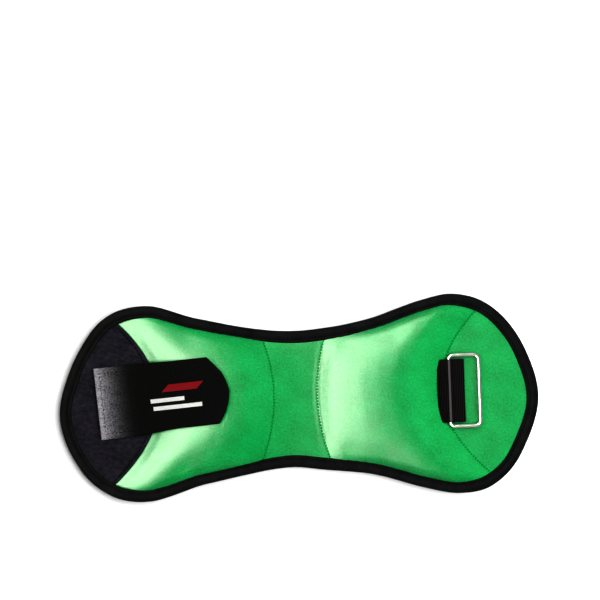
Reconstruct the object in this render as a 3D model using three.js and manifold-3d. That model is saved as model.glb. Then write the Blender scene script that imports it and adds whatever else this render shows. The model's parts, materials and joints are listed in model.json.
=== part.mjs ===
// Ankle cuff weight, opened out flat: a neoprene cuff with two weight pockets, bound all round,
// with a loop patch and a fold-back strap on its left end and a wire ring in a webbing keeper on
// its right end. Millimetres, +X along the cuff, +Z out of its outer face, origin under its middle.

import * as THREE from 'three';
import { mergeVertices } from 'three/addons/utils/BufferGeometryUtils.js';
import Module from 'manifold-3d';

const wasm = await Module();
wasm.setup();

// ---- driving dimensions -------------------------------------------------------------------

const cuffLength = 350;
const air = 0.3; // clearance between pieces that lie on each other

// points that shape the outline, from the left tip over the upper edge and back along the lower
const outlineShape = [
  [-175, -8], [-161, 38], [-138, 65.6], [-109, 72], [-72, 61.8], [-30, 52.4],
  [-7, 50.1], [20, 51.6], [55, 57.6], [88, 68.2], [113, 73], [135, 67.6], [158, 46.5],
  [175, -1], [160, -47.5], [138, -69.2], [115, -73], [88, -67.8], [55, -57.6], [20, -53],
  [-7, -50], [-30, -52.4], [-72, -60.6], [-112, -71], [-138, -66.6], [-160, -48],
];

// x of the straight fold lines across the cuff, where its sections hinge
const foldLine = { leftEnd: -101, leftWaist: -28, rightWaist: 23, rightEnd: 99 };
const foldHalfGap = 1.2;

// sewn seams, bowed lines across the cuff: x = apex + bow * (y - middle)^2
const seam = {
  patch: { apex: -103.2, middle: 4, bow: -0.009 },
  left: { apex: -18, middle: 4, bow: -0.0044 },
  right: { apex: 13.5, middle: 2, bow: 0.0038 },
  ring: { apex: 103.4, middle: 4, bow: 0.0088 },
};

// layers, from the floor up
const bindingTape = 0.8;
const bindingWidth = 8.5;
const liningTop = 2.3;
const liningRimBottom = bindingTape + air;
const panelBottom = liningTop + air;
const panelRim = 1.8;
const rimTop = panelBottom + panelRim;
const bindingTop = rimTop + air + bindingTape;
const neoprene = 2.6;
const bagFilm = 0.6;
const bagFloor = panelBottom;
const fillFloor = bagFloor + bagFilm + air;
const edgeInset = bindingTape + 2 * air; // panel edges inside the binding's wall
const crownInset = bindingWidth + air; // where a pad starts to rise

// how far each section's outer face rises above its rim
const crownRise = { leftEnd: 0.8, leftLobe: 16.5, waist: 3.5, rightLobe: 17, rightEnd: 1.8 };

// strap
const strapTilt = THREE.MathUtils.degToRad(4.6);
const strapFold = new THREE.Vector2(-118, 3.6);
const strapThickness = 2.2;
const strapRootWidth = 51.5;
const strapWidth = 48.4;
const strapBaseLength = 31;
const strapFreeLength = 69;
const strapNarrows = [-5, 25]; // between these places along it, it narrows from root to free width
const strapTipTaper = 13;
const strapTipWidth = 25;
const strapRootEase = 0.6; // the sewn root stops this short of the fold, and is this much wider a side
const boxInset = 4; // the box of stitching, inside the edges of the strap's root
const hookThickness = 1;
const hookSpan = [26, 55];
const hookInset = 3;
const patchPile = 1.3;
const patchSpanY = [-55.5, 58.5];

// printed bars on the strap: from and to along it, middle and half width across it
const markBars = {
  red: { along: [13, 45], middle: 5, half: 2 },
  white: { along: [10, 42], middle: -4, half: 3.4 },
};
const markThickness = 0.4;

// wire ring and its keeper
const wire = 2.8;
const ringWidth = 54.6;
const ringDepth = 24.6;
const ringCorner = 4;
const ringBarX = 110;
const ringMiddleY = 2;
const keeperWidth = 46;
const keeperTape = 0.8;
const keeperFrom = 101.2;
const keeperTo = 121;
const keeperHeight = 5.2;
const keeperSlope = 5; // its upper ply comes down over this much to the seam
const keeperSeamShare = 0.45; // the share of its height that is left there

const threadWidth = 0.9;
const threadHeight = 0.5;

// the stretches of seam that carry stitching, in y
const stitched = {
  patch: [-44, 50],
  waist: [-40, 42],
  ringUpper: [27, 52],
  ringLower: [-48, -23],
};
const patchStitchInset = 3;

// ---- materials ----------------------------------------------------------------------------

const materials = {
  neoprene: new THREE.MeshStandardMaterial({ color: 0x18bc5a, roughness: 0.8, metalness: 0 }),
  lining: new THREE.MeshStandardMaterial({ color: 0x16b055, roughness: 0.85, metalness: 0 }),
  binding: new THREE.MeshStandardMaterial({ color: 0x14161a, roughness: 0.8, metalness: 0 }),
  loop: new THREE.MeshStandardMaterial({ color: 0x28232f, roughness: 1, metalness: 0 }),
  webbing: new THREE.MeshStandardMaterial({ color: 0x17191c, roughness: 0.7, metalness: 0 }),
  hook: new THREE.MeshStandardMaterial({ color: 0x2a2c30, roughness: 0.6, metalness: 0 }),
  thread: new THREE.MeshStandardMaterial({ color: 0x0c0d0f, roughness: 0.6, metalness: 0 }),
  film: new THREE.MeshStandardMaterial({ color: 0xd8dad6, roughness: 0.5, metalness: 0 }),
  shot: new THREE.MeshStandardMaterial({ color: 0x4a4a4c, roughness: 0.7, metalness: 0.6 }),
  metal: new THREE.MeshStandardMaterial({ color: 0xdfe3e0, roughness: 0.15, metalness: 1 }),
  printRed: new THREE.MeshStandardMaterial({ color: 0xd20019, roughness: 0.5, metalness: 0 }),
  printWhite: new THREE.MeshStandardMaterial({ color: 0xf4f4f2, roughness: 0.5, metalness: 0 }),
};

const cuff = new THREE.Group();

function addPiece(name, geometry, material) {
  const mesh = new THREE.Mesh(geometry, material);
  mesh.name = name;
  cuff.add(mesh);
}

// ---- small helpers ------------------------------------------------------------------------

const mix = THREE.MathUtils.lerp;

function steps(count) {
  return Array.from({ length: count + 1 }, (_, i) => i / count);
}

function asSolid(geometry) {
  const bare = geometry.clone();
  bare.deleteAttribute('normal');
  bare.deleteAttribute('uv');
  const merged = mergeVertices(bare, 1e-4);
  const mesh = new wasm.Mesh({
    numProp: 3,
    vertProperties: new Float32Array(merged.attributes.position.array),
    triVerts: new Uint32Array(merged.index.array),
  });
  return new wasm.Manifold(mesh);
}

function asGeometry(solid) {
  const mesh = solid.getMesh();
  const geometry = new THREE.BufferGeometry();
  geometry.setAttribute('position', new THREE.BufferAttribute(mesh.vertProperties, 3));
  geometry.setIndex(new THREE.BufferAttribute(mesh.triVerts, 1));
  geometry.computeVertexNormals();
  return geometry;
}

function indexedGeometry(points, triangles) {
  const geometry = new THREE.BufferGeometry();
  geometry.setAttribute('position', new THREE.Float32BufferAttribute(points.flat(), 3));
  geometry.setIndex(triangles.flat());
  geometry.computeVertexNormals();
  return geometry;
}

// a closed solid between two height functions, over a grid that place(u, v) lays out in plan
function gridSolid(us, vs, place, lowAt, highAt) {
  const points = [];
  const triangles = [];
  const columns = vs.length;
  const layer = us.length * columns;
  for (const heightAt of [lowAt, highAt]) {
    for (const u of us) {
      for (const v of vs) {
        const [x, y] = place(u, v);
        points.push([x, y, heightAt(x, y)]);
      }
    }
  }
  const at = (i, j, top) => top * layer + i * columns + j;
  const quad = (a, b, c, d) => triangles.push([a, b, c], [a, c, d]);
  for (let i = 0; i < us.length - 1; i += 1) {
    for (let j = 0; j < columns - 1; j += 1) {
      quad(at(i, j, 0), at(i, j + 1, 0), at(i + 1, j + 1, 0), at(i + 1, j, 0));
      quad(at(i, j, 1), at(i + 1, j, 1), at(i + 1, j + 1, 1), at(i, j + 1, 1));
    }
    quad(at(i, 0, 0), at(i + 1, 0, 0), at(i + 1, 0, 1), at(i, 0, 1));
    const last = columns - 1;
    quad(at(i + 1, last, 0), at(i, last, 0), at(i, last, 1), at(i + 1, last, 1));
  }
  for (let j = 0; j < columns - 1; j += 1) {
    quad(at(0, j + 1, 0), at(0, j, 0), at(0, j, 1), at(0, j + 1, 1));
    const last = us.length - 1;
    quad(at(last, j, 0), at(last, j + 1, 0), at(last, j + 1, 1), at(last, j, 1));
  }
  return indexedGeometry(points, triangles);
}

// a closed solid swept through rings of points, each ring listed the same way round
function sweptSolid(rings) {
  const count = rings[0].length;
  const points = rings.flat();
  const triangles = [];
  for (let i = 0; i < rings.length - 1; i += 1) {
    for (let j = 0; j < count; j += 1) {
      const next = (j + 1) % count;
      const here = i * count;
      const ahead = here + count;
      triangles.push([here + j, here + next, ahead + next], [here + j, ahead + next, ahead + j]);
    }
  }
  const face = THREE.ShapeUtils.triangulateShape(flatRing(rings[0]), []);
  const end = (rings.length - 1) * count;
  for (const [a, b, c] of face) {
    triangles.push([a, c, b], [end + a, end + b, end + c]);
  }
  return outwards(indexedGeometry(points, triangles));
}

// a ring's points in its own plane, along its first edge and across it
function flatRing(ring) {
  const corners = ring.map((point) => new THREE.Vector3(...point));
  const along = corners[1].clone().sub(corners[0]).normalize();
  const normal = new THREE.Vector3();
  for (let j = 0; j < corners.length; j += 1) {
    normal.add(corners[j].clone().cross(corners[(j + 1) % corners.length]));
  }
  const across = normal.normalize().clone().cross(along);
  return corners.map((corner) => new THREE.Vector2(corner.dot(along), corner.dot(across)));
}

// the same closed geometry with its faces pointing out
function outwards(geometry) {
  const position = geometry.attributes.position;
  const index = geometry.index.array;
  const [a, b, c] = [new THREE.Vector3(), new THREE.Vector3(), new THREE.Vector3()];
  let volume = 0;
  for (let i = 0; i < index.length; i += 3) {
    a.fromBufferAttribute(position, index[i]);
    b.fromBufferAttribute(position, index[i + 1]);
    c.fromBufferAttribute(position, index[i + 2]);
    volume += a.dot(b.cross(c));
  }
  if (volume < 0) {
    for (let i = 0; i < index.length; i += 3) {
      [index[i + 1], index[i + 2]] = [index[i + 2], index[i + 1]];
    }
  }
  geometry.computeVertexNormals();
  return geometry;
}

// ---- outline ------------------------------------------------------------------------------

const outlineCurve = new THREE.CatmullRomCurve3(
  outlineShape.map(([x, y]) => new THREE.Vector3(x, y, 0)),
  true,
  'centripetal',
);
const outlineSamples = 480;

function insetOutline(inset) {
  return steps(outlineSamples).map((t) => {
    const point = outlineCurve.getPoint(t);
    const tangent = outlineCurve.getTangent(t);
    return new THREE.Vector2(point.x + inset * tangent.y, point.y - inset * tangent.x);
  });
}

const outlines = {
  outer: insetOutline(0),
  panel: insetOutline(edgeInset),
  crown: insetOutline(crownInset),
};

// the outermost place on an outline at a given x (or y), on its upper or lower (right or left) side
function edgeAt(outline, known, value, wanted, side) {
  let best = null;
  for (let i = 0; i < outline.length - 1; i += 1) {
    const [a, b] = [outline[i], outline[i + 1]];
    const crosses = (a[known] - value) * (b[known] - value) <= 0 && a[known] !== b[known];
    if (crosses) {
      const place = mix(a[wanted], b[wanted], (value - a[known]) / (b[known] - a[known]));
      best = best === null || side * place > side * best ? place : best;
    }
  }
  return best;
}

const upperEdge = (outline, x) => edgeAt(outline, 'x', x, 'y', 1);
const lowerEdge = (outline, x) => edgeAt(outline, 'x', x, 'y', -1);
const leftEdge = (outline, y) => edgeAt(outline, 'y', y, 'x', -1);

function seamX(line, y) {
  return line.apex + line.bow * (y - line.middle) ** 2;
}

// ---- outer face ---------------------------------------------------------------------------

const tipX = cuffLength / 2;
const padGap = 2; // a pad starts this far from a fold line
const pads = [
  { from: -tipX + crownInset, to: foldLine.leftEnd - padGap, rise: crownRise.leftEnd },
  { from: foldLine.leftEnd + padGap, to: foldLine.leftWaist - padGap, rise: crownRise.leftLobe },
  { from: foldLine.leftWaist + padGap, to: foldLine.rightWaist - padGap, rise: crownRise.waist },
  { from: foldLine.rightWaist + padGap, to: foldLine.rightEnd - padGap, rise: crownRise.rightLobe },
  { from: foldLine.rightEnd + padGap, to: tipX - crownInset, rise: crownRise.rightEnd },
];

// 0 at both ends of 0..1, rising steeply to a broad 1 between them
function bulge(t) {
  const offCentre = Math.min(1, Math.abs(2 * t - 1));
  return (1 - offCentre ** 2.6) ** 0.75;
}

function share(value, from, to) {
  return (value - from) / (to - from);
}

// how far a cushion over part of a pad rises at a place, with its rim drawn in by inset
function padRise(pad, x, y, rise, inset) {
  const upper = upperEdge(outlines.crown, x);
  const lower = lowerEdge(outlines.crown, x);
  const outside = x <= pad.from + inset || x >= pad.to - inset || upper === null;
  if (outside) {
    return 0;
  }
  const along = bulge(share(x, pad.from + inset, pad.to - inset));
  const across = bulge(THREE.MathUtils.clamp(share(y, lower + inset, upper - inset), 0, 1));
  return rise * along * across;
}

function panelTop(x, y) {
  const pad = pads.find((each) => x > each.from && x <= each.to);
  return pad ? rimTop + padRise(pad, x, y, pad.rise, 0) : rimTop;
}

// ---- sections of the cuff -----------------------------------------------------------------

const tipBlunt = 0.5; // the two tips are cut off square by this much, so that they have an edge

const sections = [
  { name: 'left_end', from: -tipX, to: foldLine.leftEnd, tip: -1, cells: 8 },
  { name: 'left_lobe', from: foldLine.leftEnd, to: foldLine.leftWaist, tip: 0, cells: 9 },
  { name: 'waist', from: foldLine.leftWaist, to: foldLine.rightWaist, tip: 0, cells: 5 },
  { name: 'right_lobe', from: foldLine.rightWaist, to: foldLine.rightEnd, tip: 0, cells: 9 },
  { name: 'right_end', from: foldLine.rightEnd, to: tipX, tip: 1, cells: 8 },
];

// places along a section, closer together towards a tip; a layer's first step in from a tip
// reaches the place where the pads start
function sectionXs(section, inset) {
  const from = section.tip === -1 ? section.from + crownInset + tipBlunt : section.from + foldHalfGap;
  const to = section.tip === 1 ? section.to - crownInset - tipBlunt : section.to - foldHalfGap;
  const eased = {
    '-1': (t) => 1 - Math.cos(t * Math.PI / 2),
    0: (t) => t,
    1: (t) => Math.sin(t * Math.PI / 2),
  }[section.tip];
  const xs = steps(section.cells).map((t) => mix(from, to, eased(t)));
  if (inset < crownInset && section.tip === -1) {
    xs.unshift(section.from + inset + tipBlunt, mix(section.from + inset + tipBlunt, from, 0.4));
  }
  if (inset < crownInset && section.tip === 1) {
    xs.push(mix(section.to - inset - tipBlunt, to, 0.4), section.to - inset - tipBlunt);
  }
  return xs;
}

function layerPlan(outline) {
  return (x, v) => [x, mix(lowerEdge(outline, x), upperEdge(outline, x), v)];
}

// across a panel: its two edges, then shares of the width between them that the pads may fill
const acrossSteps = ['lower', 0, 0.05, 0.13, 0.28, 0.5, 0.72, 0.87, 0.95, 1, 'upper'];

function panelPlan(x, v) {
  const [low, high] = [lowerEdge(outlines.panel, x), upperEdge(outlines.panel, x)];
  const narrow = 0.3 * (high - low);
  const innerLow = lowerEdge(outlines.crown, x) ?? low + narrow;
  const innerHigh = upperEdge(outlines.crown, x) ?? high - narrow;
  const places = { lower: low, upper: high };
  return [x, places[v] ?? mix(innerLow, innerHigh, v)];
}

function panelLow(section) {
  const hollow = section.name.endsWith('lobe');
  return (x, y) => (hollow ? Math.max(panelBottom, panelTop(x, y) - neoprene) : panelBottom);
}

function addPanel(section) {
  const xs = sectionXs(section, edgeInset);
  const panel = gridSolid(xs, acrossSteps, panelPlan, panelLow(section), panelTop);
  addPiece(`${section.name}_panel`, panel, materials.neoprene);
}

function flatLayer(section, outline, inset, bottom, top) {
  const xs = sectionXs(section, inset);
  return gridSolid(xs, [0, 1], layerPlan(outline), () => bottom, () => top);
}

// the lining is stepped under its edge, so that the binding lies flush with it on the floor
function addLining(section) {
  const rim = flatLayer(section, outlines.panel, edgeInset, liningRimBottom, liningTop);
  const middle = flatLayer(section, outlines.crown, crownInset, 0, liningTop);
  const lining = asGeometry(asSolid(rim).add(asSolid(middle)));
  addPiece(`${section.name}_lining`, lining, materials.lining);
}

// ---- binding ------------------------------------------------------------------------------

// the folded tape's section: distance in from the outline, and height
const bindingProfile = [
  [bindingWidth, 0], [0.8, 0], [0, 0.9], [0, bindingTop - 0.9], [0.8, bindingTop],
  [bindingWidth, bindingTop], [bindingWidth, bindingTop - bindingTape],
  [bindingTape, bindingTop - bindingTape], [bindingTape, bindingTape], [bindingWidth, bindingTape],
];

const bindingStep = 9;

// the curve parameters of the outline's two tips, which are two of its shape points
const tipParameter = {
  left: 0,
  right: outlineShape.findIndex(([x]) => x === cuffLength / 2) / outlineShape.length,
};

// where along the outline curve it passes a given x, on its upper (or lower) half
function outlineAt(x, side) {
  const upper = side > 0;
  let [low, high] = upper ? [tipParameter.left, tipParameter.right] : [tipParameter.right, 1];
  const halvings = 40;
  for (let i = 0; i < halvings; i += 1) {
    const middle = (low + high) / 2;
    const before = outlineCurve.getPoint(middle).x < x;
    if (before === upper) {
      low = middle;
    } else {
      high = middle;
    }
  }
  return (low + high) / 2;
}

// a stretch of binding that passes through the given places on the outline curve; it is cut off
// square to the cuff, at the x where it starts and the x where it ends
function bindingSolid(stops, cutStart, cutEnd) {
  const parameters = [stops[0]];
  for (let i = 1; i < stops.length; i += 1) {
    const arc = (stops[i] - stops[i - 1]) * outlineCurve.getLength();
    const count = Math.max(4, Math.round(arc / bindingStep));
    parameters.push(...steps(count).slice(1).map((t) => mix(stops[i - 1], stops[i], t)));
  }
  const rings = parameters.map((parameter, i) => {
    const onCurve = (parameter + 1) % 1;
    const point = outlineCurve.getPoint(onCurve);
    const tangent = outlineCurve.getTangent(onCurve);
    const cut = { 0: cutStart, [parameters.length - 1]: cutEnd }[i];
    return bindingProfile.map(([inset, z]) => {
      const x = point.x + inset * tangent.y;
      const y = point.y - inset * tangent.x;
      const shift = cut === undefined ? 0 : (cut - x) / tangent.x;
      return [x + shift * tangent.x, y + shift * tangent.y, z];
    });
  });
  return sweptSolid(rings);
}

function addBinding(section) {
  const [from, to] = [section.from + foldHalfGap, section.to - foldHalfGap];
  const add = (name, stops, cutStart, cutEnd) => {
    addPiece(`${section.name}_${name}`, bindingSolid(stops, cutStart, cutEnd), materials.binding);
  };
  if (section.tip === -1) {
    add('binding', [outlineAt(to, -1) - 1, tipParameter.left, outlineAt(to, 1)], to, to);
  } else if (section.tip === 1) {
    add('binding', [outlineAt(from, 1), tipParameter.right, outlineAt(from, -1)], from, from);
  } else {
    add('binding_upper', [outlineAt(from, 1), outlineAt(to, 1)], from, to);
    add('binding_lower', [outlineAt(to, -1), outlineAt(from, -1)], to, from);
  }
}

// ---- weight bags --------------------------------------------------------------------------

const bagInset = 6; // the bag's welded rim, inside the pocket
const bagSlack = 1.3; // the bag is this much flatter than the pocket round it
const fillInset = 3; // the filling, inside the bag's rim
const fillSlack = 1.1; // room over the filling

function addWeightBag(section, rise) {
  const pad = pads.find((each) => each.from > section.from && each.to < section.to);
  const bagRise = rise - neoprene - bagFilm - 2 * air - bagSlack;
  const bagBottom = (x, y) => fillFloor + padRise(pad, x, y, bagRise, bagInset);
  const plan = (inset) => (u, v) => {
    const x = mix(pad.from + inset, pad.to - inset, u);
    return [x, mix(lowerEdge(outlines.crown, x) + inset, upperEdge(outlines.crown, x) - inset, v)];
  };
  const us = [0, 0.06, 0.18, 0.34, 0.5, 0.66, 0.82, 0.94, 1];
  const vs = [0, 0.05, 0.14, 0.3, 0.5, 0.7, 0.86, 0.95, 1];
  const base = gridSolid(steps(4), [0, 1], plan(bagInset), () => bagFloor, () => bagFloor + bagFilm);
  const top = gridSolid(us, vs, plan(bagInset), bagBottom, (x, y) => bagBottom(x, y) + bagFilm);
  const fillTop = (x, y) => bagBottom(x, y) - fillSlack;
  const fill = gridSolid(us, vs, plan(bagInset + fillInset), () => fillFloor, fillTop);
  addPiece(`${section.name}_bag_base`, base, materials.film);
  addPiece(`${section.name}_bag_top`, top, materials.film);
  addPiece(`${section.name}_fill`, fill, materials.shot);
}

// ---- threads ------------------------------------------------------------------------------

// a thin band of stitching that follows a line over a face; lineAt(t) gives its middle in plan
function threadSolid(lineAt, count, faceTop) {
  const half = threadWidth / 2;
  const rings = steps(count).map((t) => {
    const here = lineAt(t);
    const ahead = lineAt(Math.min(1, t + 0.01));
    const behind = lineAt(Math.max(0, t - 0.01));
    const along = ahead.clone().sub(behind).normalize();
    const left = new THREE.Vector2(here.x - half * along.y, here.y + half * along.x);
    const right = new THREE.Vector2(here.x + half * along.y, here.y - half * along.x);
    const bottom = Math.max(faceTop(left.x, left.y), faceTop(right.x, right.y)) + air;
    const top = bottom + threadHeight;
    return [[left.x, left.y, bottom], [right.x, right.y, bottom],
      [right.x, right.y, top], [left.x, left.y, top]];
  });
  return sweptSolid(rings);
}

function seamLine(line, ySpan, offset) {
  return (t) => {
    const y = mix(ySpan[0], ySpan[1], t);
    return new THREE.Vector2(seamX(line, y) + offset, y);
  };
}

function addSeamStitching(name, line, ySpan, count) {
  addPiece(name, threadSolid(seamLine(line, ySpan, 0), count, panelTop), materials.thread);
}

// ---- loop patch, strap and mark -----------------------------------------------------------

const patchOutline = insetOutline(crownInset + 0.2);
const patchTop = (x, y) => panelTop(x, y) + air + patchPile;

function addPatch() {
  const plan = (u, v) => {
    const y = mix(patchSpanY[0], patchSpanY[1], v);
    return [mix(leftEdge(patchOutline, y), seamX(seam.patch, y), u), y];
  };
  const patch = gridSolid(steps(6), steps(12), plan, (x, y) => panelTop(x, y) + air, patchTop);
  addPiece('loop_patch', patch, materials.loop);
  const stitch = threadSolid(seamLine(seam.patch, stitched.patch, -patchStitchInset), 14, patchTop);
  addPiece('patch_stitching', stitch, materials.thread);
}

const strapAlong = new THREE.Vector2(Math.cos(strapTilt), Math.sin(strapTilt));

// a place on the strap, s along it from the fold and w across it
function strapPlace(s, w) {
  return [
    strapFold.x + s * strapAlong.x - w * strapAlong.y,
    strapFold.y + s * strapAlong.y + w * strapAlong.x,
  ];
}

function strapReach(x, y) {
  return (x - strapFold.x) * strapAlong.x + (y - strapFold.y) * strapAlong.y;
}

const strapBaseBottom = Math.max(...steps(6).map((t) => patchTop(strapFold.x - 20 * t, 0))) + air;

// half the strap's width: it narrows from its root, and its tip is cut off at both corners
function strapHalfWidth(s) {
  const narrowed = THREE.MathUtils.smoothstep(s, ...strapNarrows);
  const taper = mix(strapRootWidth, strapWidth, narrowed) / 2;
  const cut = share(s, strapFreeLength - strapTipTaper, strapFreeLength);
  return cut > 0 ? mix(strapWidth, strapTipWidth, cut ** 1.6) / 2 : taper;
}

const strapSteps = [0.6, 6, 12, 18, 24, 30, 36, 42, 48, 54, 58, 61, 64, 67, strapFreeLength];

// the lowest that the strap can lie at each step, drawn taut over the pocket
function tautStrap() {
  const lift = hookThickness + 2 * air;
  const clearOfFold = 4;
  const floor = strapSteps.map((s) => {
    const across = steps(4).map((t) => {
      const [x, y] = strapPlace(s, mix(-1, 1, t) * strapHalfWidth(s));
      return panelTop(x, y);
    });
    return s < clearOfFold ? strapBaseBottom : Math.max(...across) + lift;
  });
  return strapSteps.map((s, i) => {
    let height = floor[i];
    for (let a = 0; a < i; a += 1) {
      for (let b = i + 1; b < floor.length; b += 1) {
        const bridge = mix(floor[a], floor[b], share(s, strapSteps[a], strapSteps[b]));
        height = Math.max(height, bridge);
      }
    }
    return height;
  });
}

const strapHeights = tautStrap();

function strapBottomAt(s) {
  const next = Math.max(1, strapSteps.findIndex((each) => each >= s - 1e-6));
  const t = share(s, strapSteps[next - 1], strapSteps[next]);
  return mix(strapHeights[next - 1], strapHeights[next], t);
}

// a layer on (or under) the strap's free run, between two places along it
function strapLayer(ss, halfWidthAt, lowOffset, highOffset, middle = 0) {
  const plan = (s, v) => strapPlace(s, middle + mix(-1, 1, v) * halfWidthAt(s));
  const heightAt = (offset) => (x, y) => strapBottomAt(strapReach(x, y)) + offset;
  return gridSolid(ss, [0, 1], plan, heightAt(lowOffset), heightAt(highOffset));
}

function evenSteps(count, [from, to]) {
  return steps(count).map((t) => mix(from, to, t));
}

// the sewn root of the strap, with its box of stitching in four runs
function addStrapRoot() {
  const top = strapBaseBottom + strapThickness;
  const along = evenSteps(4, [-strapBaseLength, -strapRootEase]);
  const plan = (s, v) => strapPlace(s, mix(-1, 1, v) * (strapHalfWidth(s) + strapRootEase));
  const base = gridSolid(along, [0, 1], plan, () => strapBaseBottom, () => top);
  addPiece('strap_base', base, materials.webbing);

  const [start, end] = [boxInset - strapBaseLength, -boxInset];
  const half = strapRootWidth / 2 - boxInset;
  const corners = [[start, -half], [end, -half], [end, half], [start, half]];
  corners.forEach((corner, i) => {
    const next = corners[(i + 1) % corners.length];
    const trim = 1; // a run stops this short of its corner
    const reach = Math.hypot(next[0] - corner[0], next[1] - corner[1]);
    const lineAt = (t) => {
      const part = mix(trim, reach - trim, t) / reach;
      const [x, y] = strapPlace(mix(corner[0], next[0], part), mix(corner[1], next[1], part));
      return new THREE.Vector2(x, y);
    };
    addPiece(`strap_stitching_${i + 1}`, threadSolid(lineAt, 1, () => top), materials.thread);
  });
}

function addMarkBar(name, bar, material) {
  const low = strapThickness + air;
  const solid = strapLayer(evenSteps(4, bar.along), () => bar.half, low, low + markThickness, bar.middle);
  addPiece(name, solid, material);
}

function addStrapRun() {
  addPiece('strap_run', strapLayer(strapSteps, strapHalfWidth, 0, strapThickness), materials.webbing);
  const hookHalf = () => strapWidth / 2 - hookInset;
  const hook = strapLayer(evenSteps(5, hookSpan), hookHalf, -air - hookThickness, -air);
  addPiece('hook_tape', hook, materials.hook);
  addMarkBar('mark_red_bar', markBars.red, materials.printRed);
  addMarkBar('mark_white_bar', markBars.white, materials.printWhite);
}

// ---- ring and keeper ----------------------------------------------------------------------

const keeperBottom = rimTop + crownRise.rightEnd + air;
const ringZ = keeperBottom + keeperHeight / 2;

// a webbing loop round the ring's bar: its two plies meet at the seam and turn back at the right
function keeperShape(inset) {
  const shape = new THREE.Shape();
  const wedge = 3.2; // the plies close up to a wedge at the seam, so the hollow starts further in
  const [left, right] = [keeperFrom + wedge * inset, keeperTo - inset];
  const [low, high] = [keeperBottom + inset, keeperBottom + keeperHeight - inset];
  const turn = (high - low) / 2;
  shape.moveTo(left, low);
  shape.lineTo(right - turn, low);
  shape.absarc(right - turn, low + turn, turn, -Math.PI / 2, Math.PI / 2, false);
  shape.lineTo(left + keeperSlope, high);
  shape.lineTo(left, mix(low, high, keeperSeamShare));
  shape.closePath();
  return shape;
}

function addKeeper() {
  const shape = keeperShape(0);
  shape.holes.push(keeperShape(keeperTape));
  const extrusion = { depth: keeperWidth, bevelEnabled: false, curveSegments: 6 };
  const loop = new THREE.ExtrudeGeometry(shape, extrusion);
  loop.rotateX(Math.PI / 2);
  loop.translate(0, ringMiddleY + keeperWidth / 2, 0);
  addPiece('ring_keeper', asGeometry(asSolid(loop)), materials.webbing);
}

function addRing() {
  const [halfX, halfY] = [(ringDepth - wire) / 2, (ringWidth - wire) / 2];
  const middleX = ringBarX + halfX;
  const turns = [[1, 1, 0], [-1, 1, 1], [-1, -1, 2], [1, -1, 3]];
  const path = turns.flatMap(([sx, sy, quarter]) => steps(4).map((t) => {
    const angle = (quarter + t) * Math.PI / 2;
    return new THREE.Vector2(
      middleX + sx * (halfX - ringCorner) + ringCorner * Math.cos(angle),
      ringMiddleY + sy * (halfY - ringCorner) + ringCorner * Math.sin(angle),
    );
  }));
  const sides = 10;
  const rings = path.map((here, i) => {
    const ahead = path[(i + 1) % path.length];
    const behind = path[(i + path.length - 1) % path.length];
    const along = ahead.clone().sub(behind).normalize();
    return steps(sides).slice(0, -1).map((t) => {
      const angle = t * 2 * Math.PI;
      const out = wire / 2 * Math.cos(angle);
      return [here.x + out * along.y, here.y - out * along.x, ringZ + wire / 2 * Math.sin(angle)];
    });
  });
  const points = rings.flat();
  const triangles = [];
  rings.forEach((_, i) => {
    const next = (i + 1) % rings.length;
    for (let j = 0; j < sides; j += 1) {
      const k = (j + 1) % sides;
      triangles.push([i * sides + j, i * sides + k, next * sides + k]);
      triangles.push([i * sides + j, next * sides + k, next * sides + j]);
    }
  });
  addPiece('ring', outwards(indexedGeometry(points, triangles)), materials.metal);
}

// ---- assembly -----------------------------------------------------------------------------

for (const section of sections) {
  addPanel(section);
  addLining(section);
  addBinding(section);
}
addWeightBag(sections[1], crownRise.leftLobe);
addWeightBag(sections[3], crownRise.rightLobe);
addSeamStitching('left_seam_stitching', seam.left, stitched.waist, 12);
addSeamStitching('right_seam_stitching', seam.right, stitched.waist, 12);
addSeamStitching('ring_seam_stitching_upper', seam.ring, stitched.ringUpper, 6);
addSeamStitching('ring_seam_stitching_lower', seam.ring, stitched.ringLower, 6);
addPatch();
addStrapRoot();
addStrapRun();
addKeeper();
addRing();

export default cuff;
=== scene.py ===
"""Ankle cuff weight, opened out flat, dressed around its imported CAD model.

Lengths are millimetres in the row frame until a mesh is made, which is in metres.
"""

import json
import math

import bpy
import numpy as np
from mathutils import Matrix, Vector
from mathutils.kdtree import KDTree


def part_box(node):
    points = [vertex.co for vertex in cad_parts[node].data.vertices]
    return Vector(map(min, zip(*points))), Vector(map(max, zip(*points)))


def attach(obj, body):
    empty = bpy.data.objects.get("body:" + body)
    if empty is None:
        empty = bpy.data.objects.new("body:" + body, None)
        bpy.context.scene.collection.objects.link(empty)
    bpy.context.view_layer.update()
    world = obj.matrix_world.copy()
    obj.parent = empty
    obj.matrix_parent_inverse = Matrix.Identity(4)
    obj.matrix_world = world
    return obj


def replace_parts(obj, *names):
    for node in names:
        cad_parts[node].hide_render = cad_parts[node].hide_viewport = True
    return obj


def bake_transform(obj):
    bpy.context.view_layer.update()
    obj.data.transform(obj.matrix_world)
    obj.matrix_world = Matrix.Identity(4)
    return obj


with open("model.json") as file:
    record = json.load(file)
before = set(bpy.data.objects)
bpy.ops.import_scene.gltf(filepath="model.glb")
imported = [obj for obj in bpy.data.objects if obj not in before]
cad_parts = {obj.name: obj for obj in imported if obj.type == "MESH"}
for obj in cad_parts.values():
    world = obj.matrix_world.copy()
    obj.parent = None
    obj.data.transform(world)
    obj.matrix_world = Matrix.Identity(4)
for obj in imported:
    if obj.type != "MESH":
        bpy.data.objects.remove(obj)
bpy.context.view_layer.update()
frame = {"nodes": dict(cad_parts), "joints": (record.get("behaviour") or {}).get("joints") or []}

MM = 0.001  # metres


# ---- places that the CAD model gives ----


def node_box(name):
    low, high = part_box(name)
    return np.array(low) / MM, np.array(high) / MM


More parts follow.
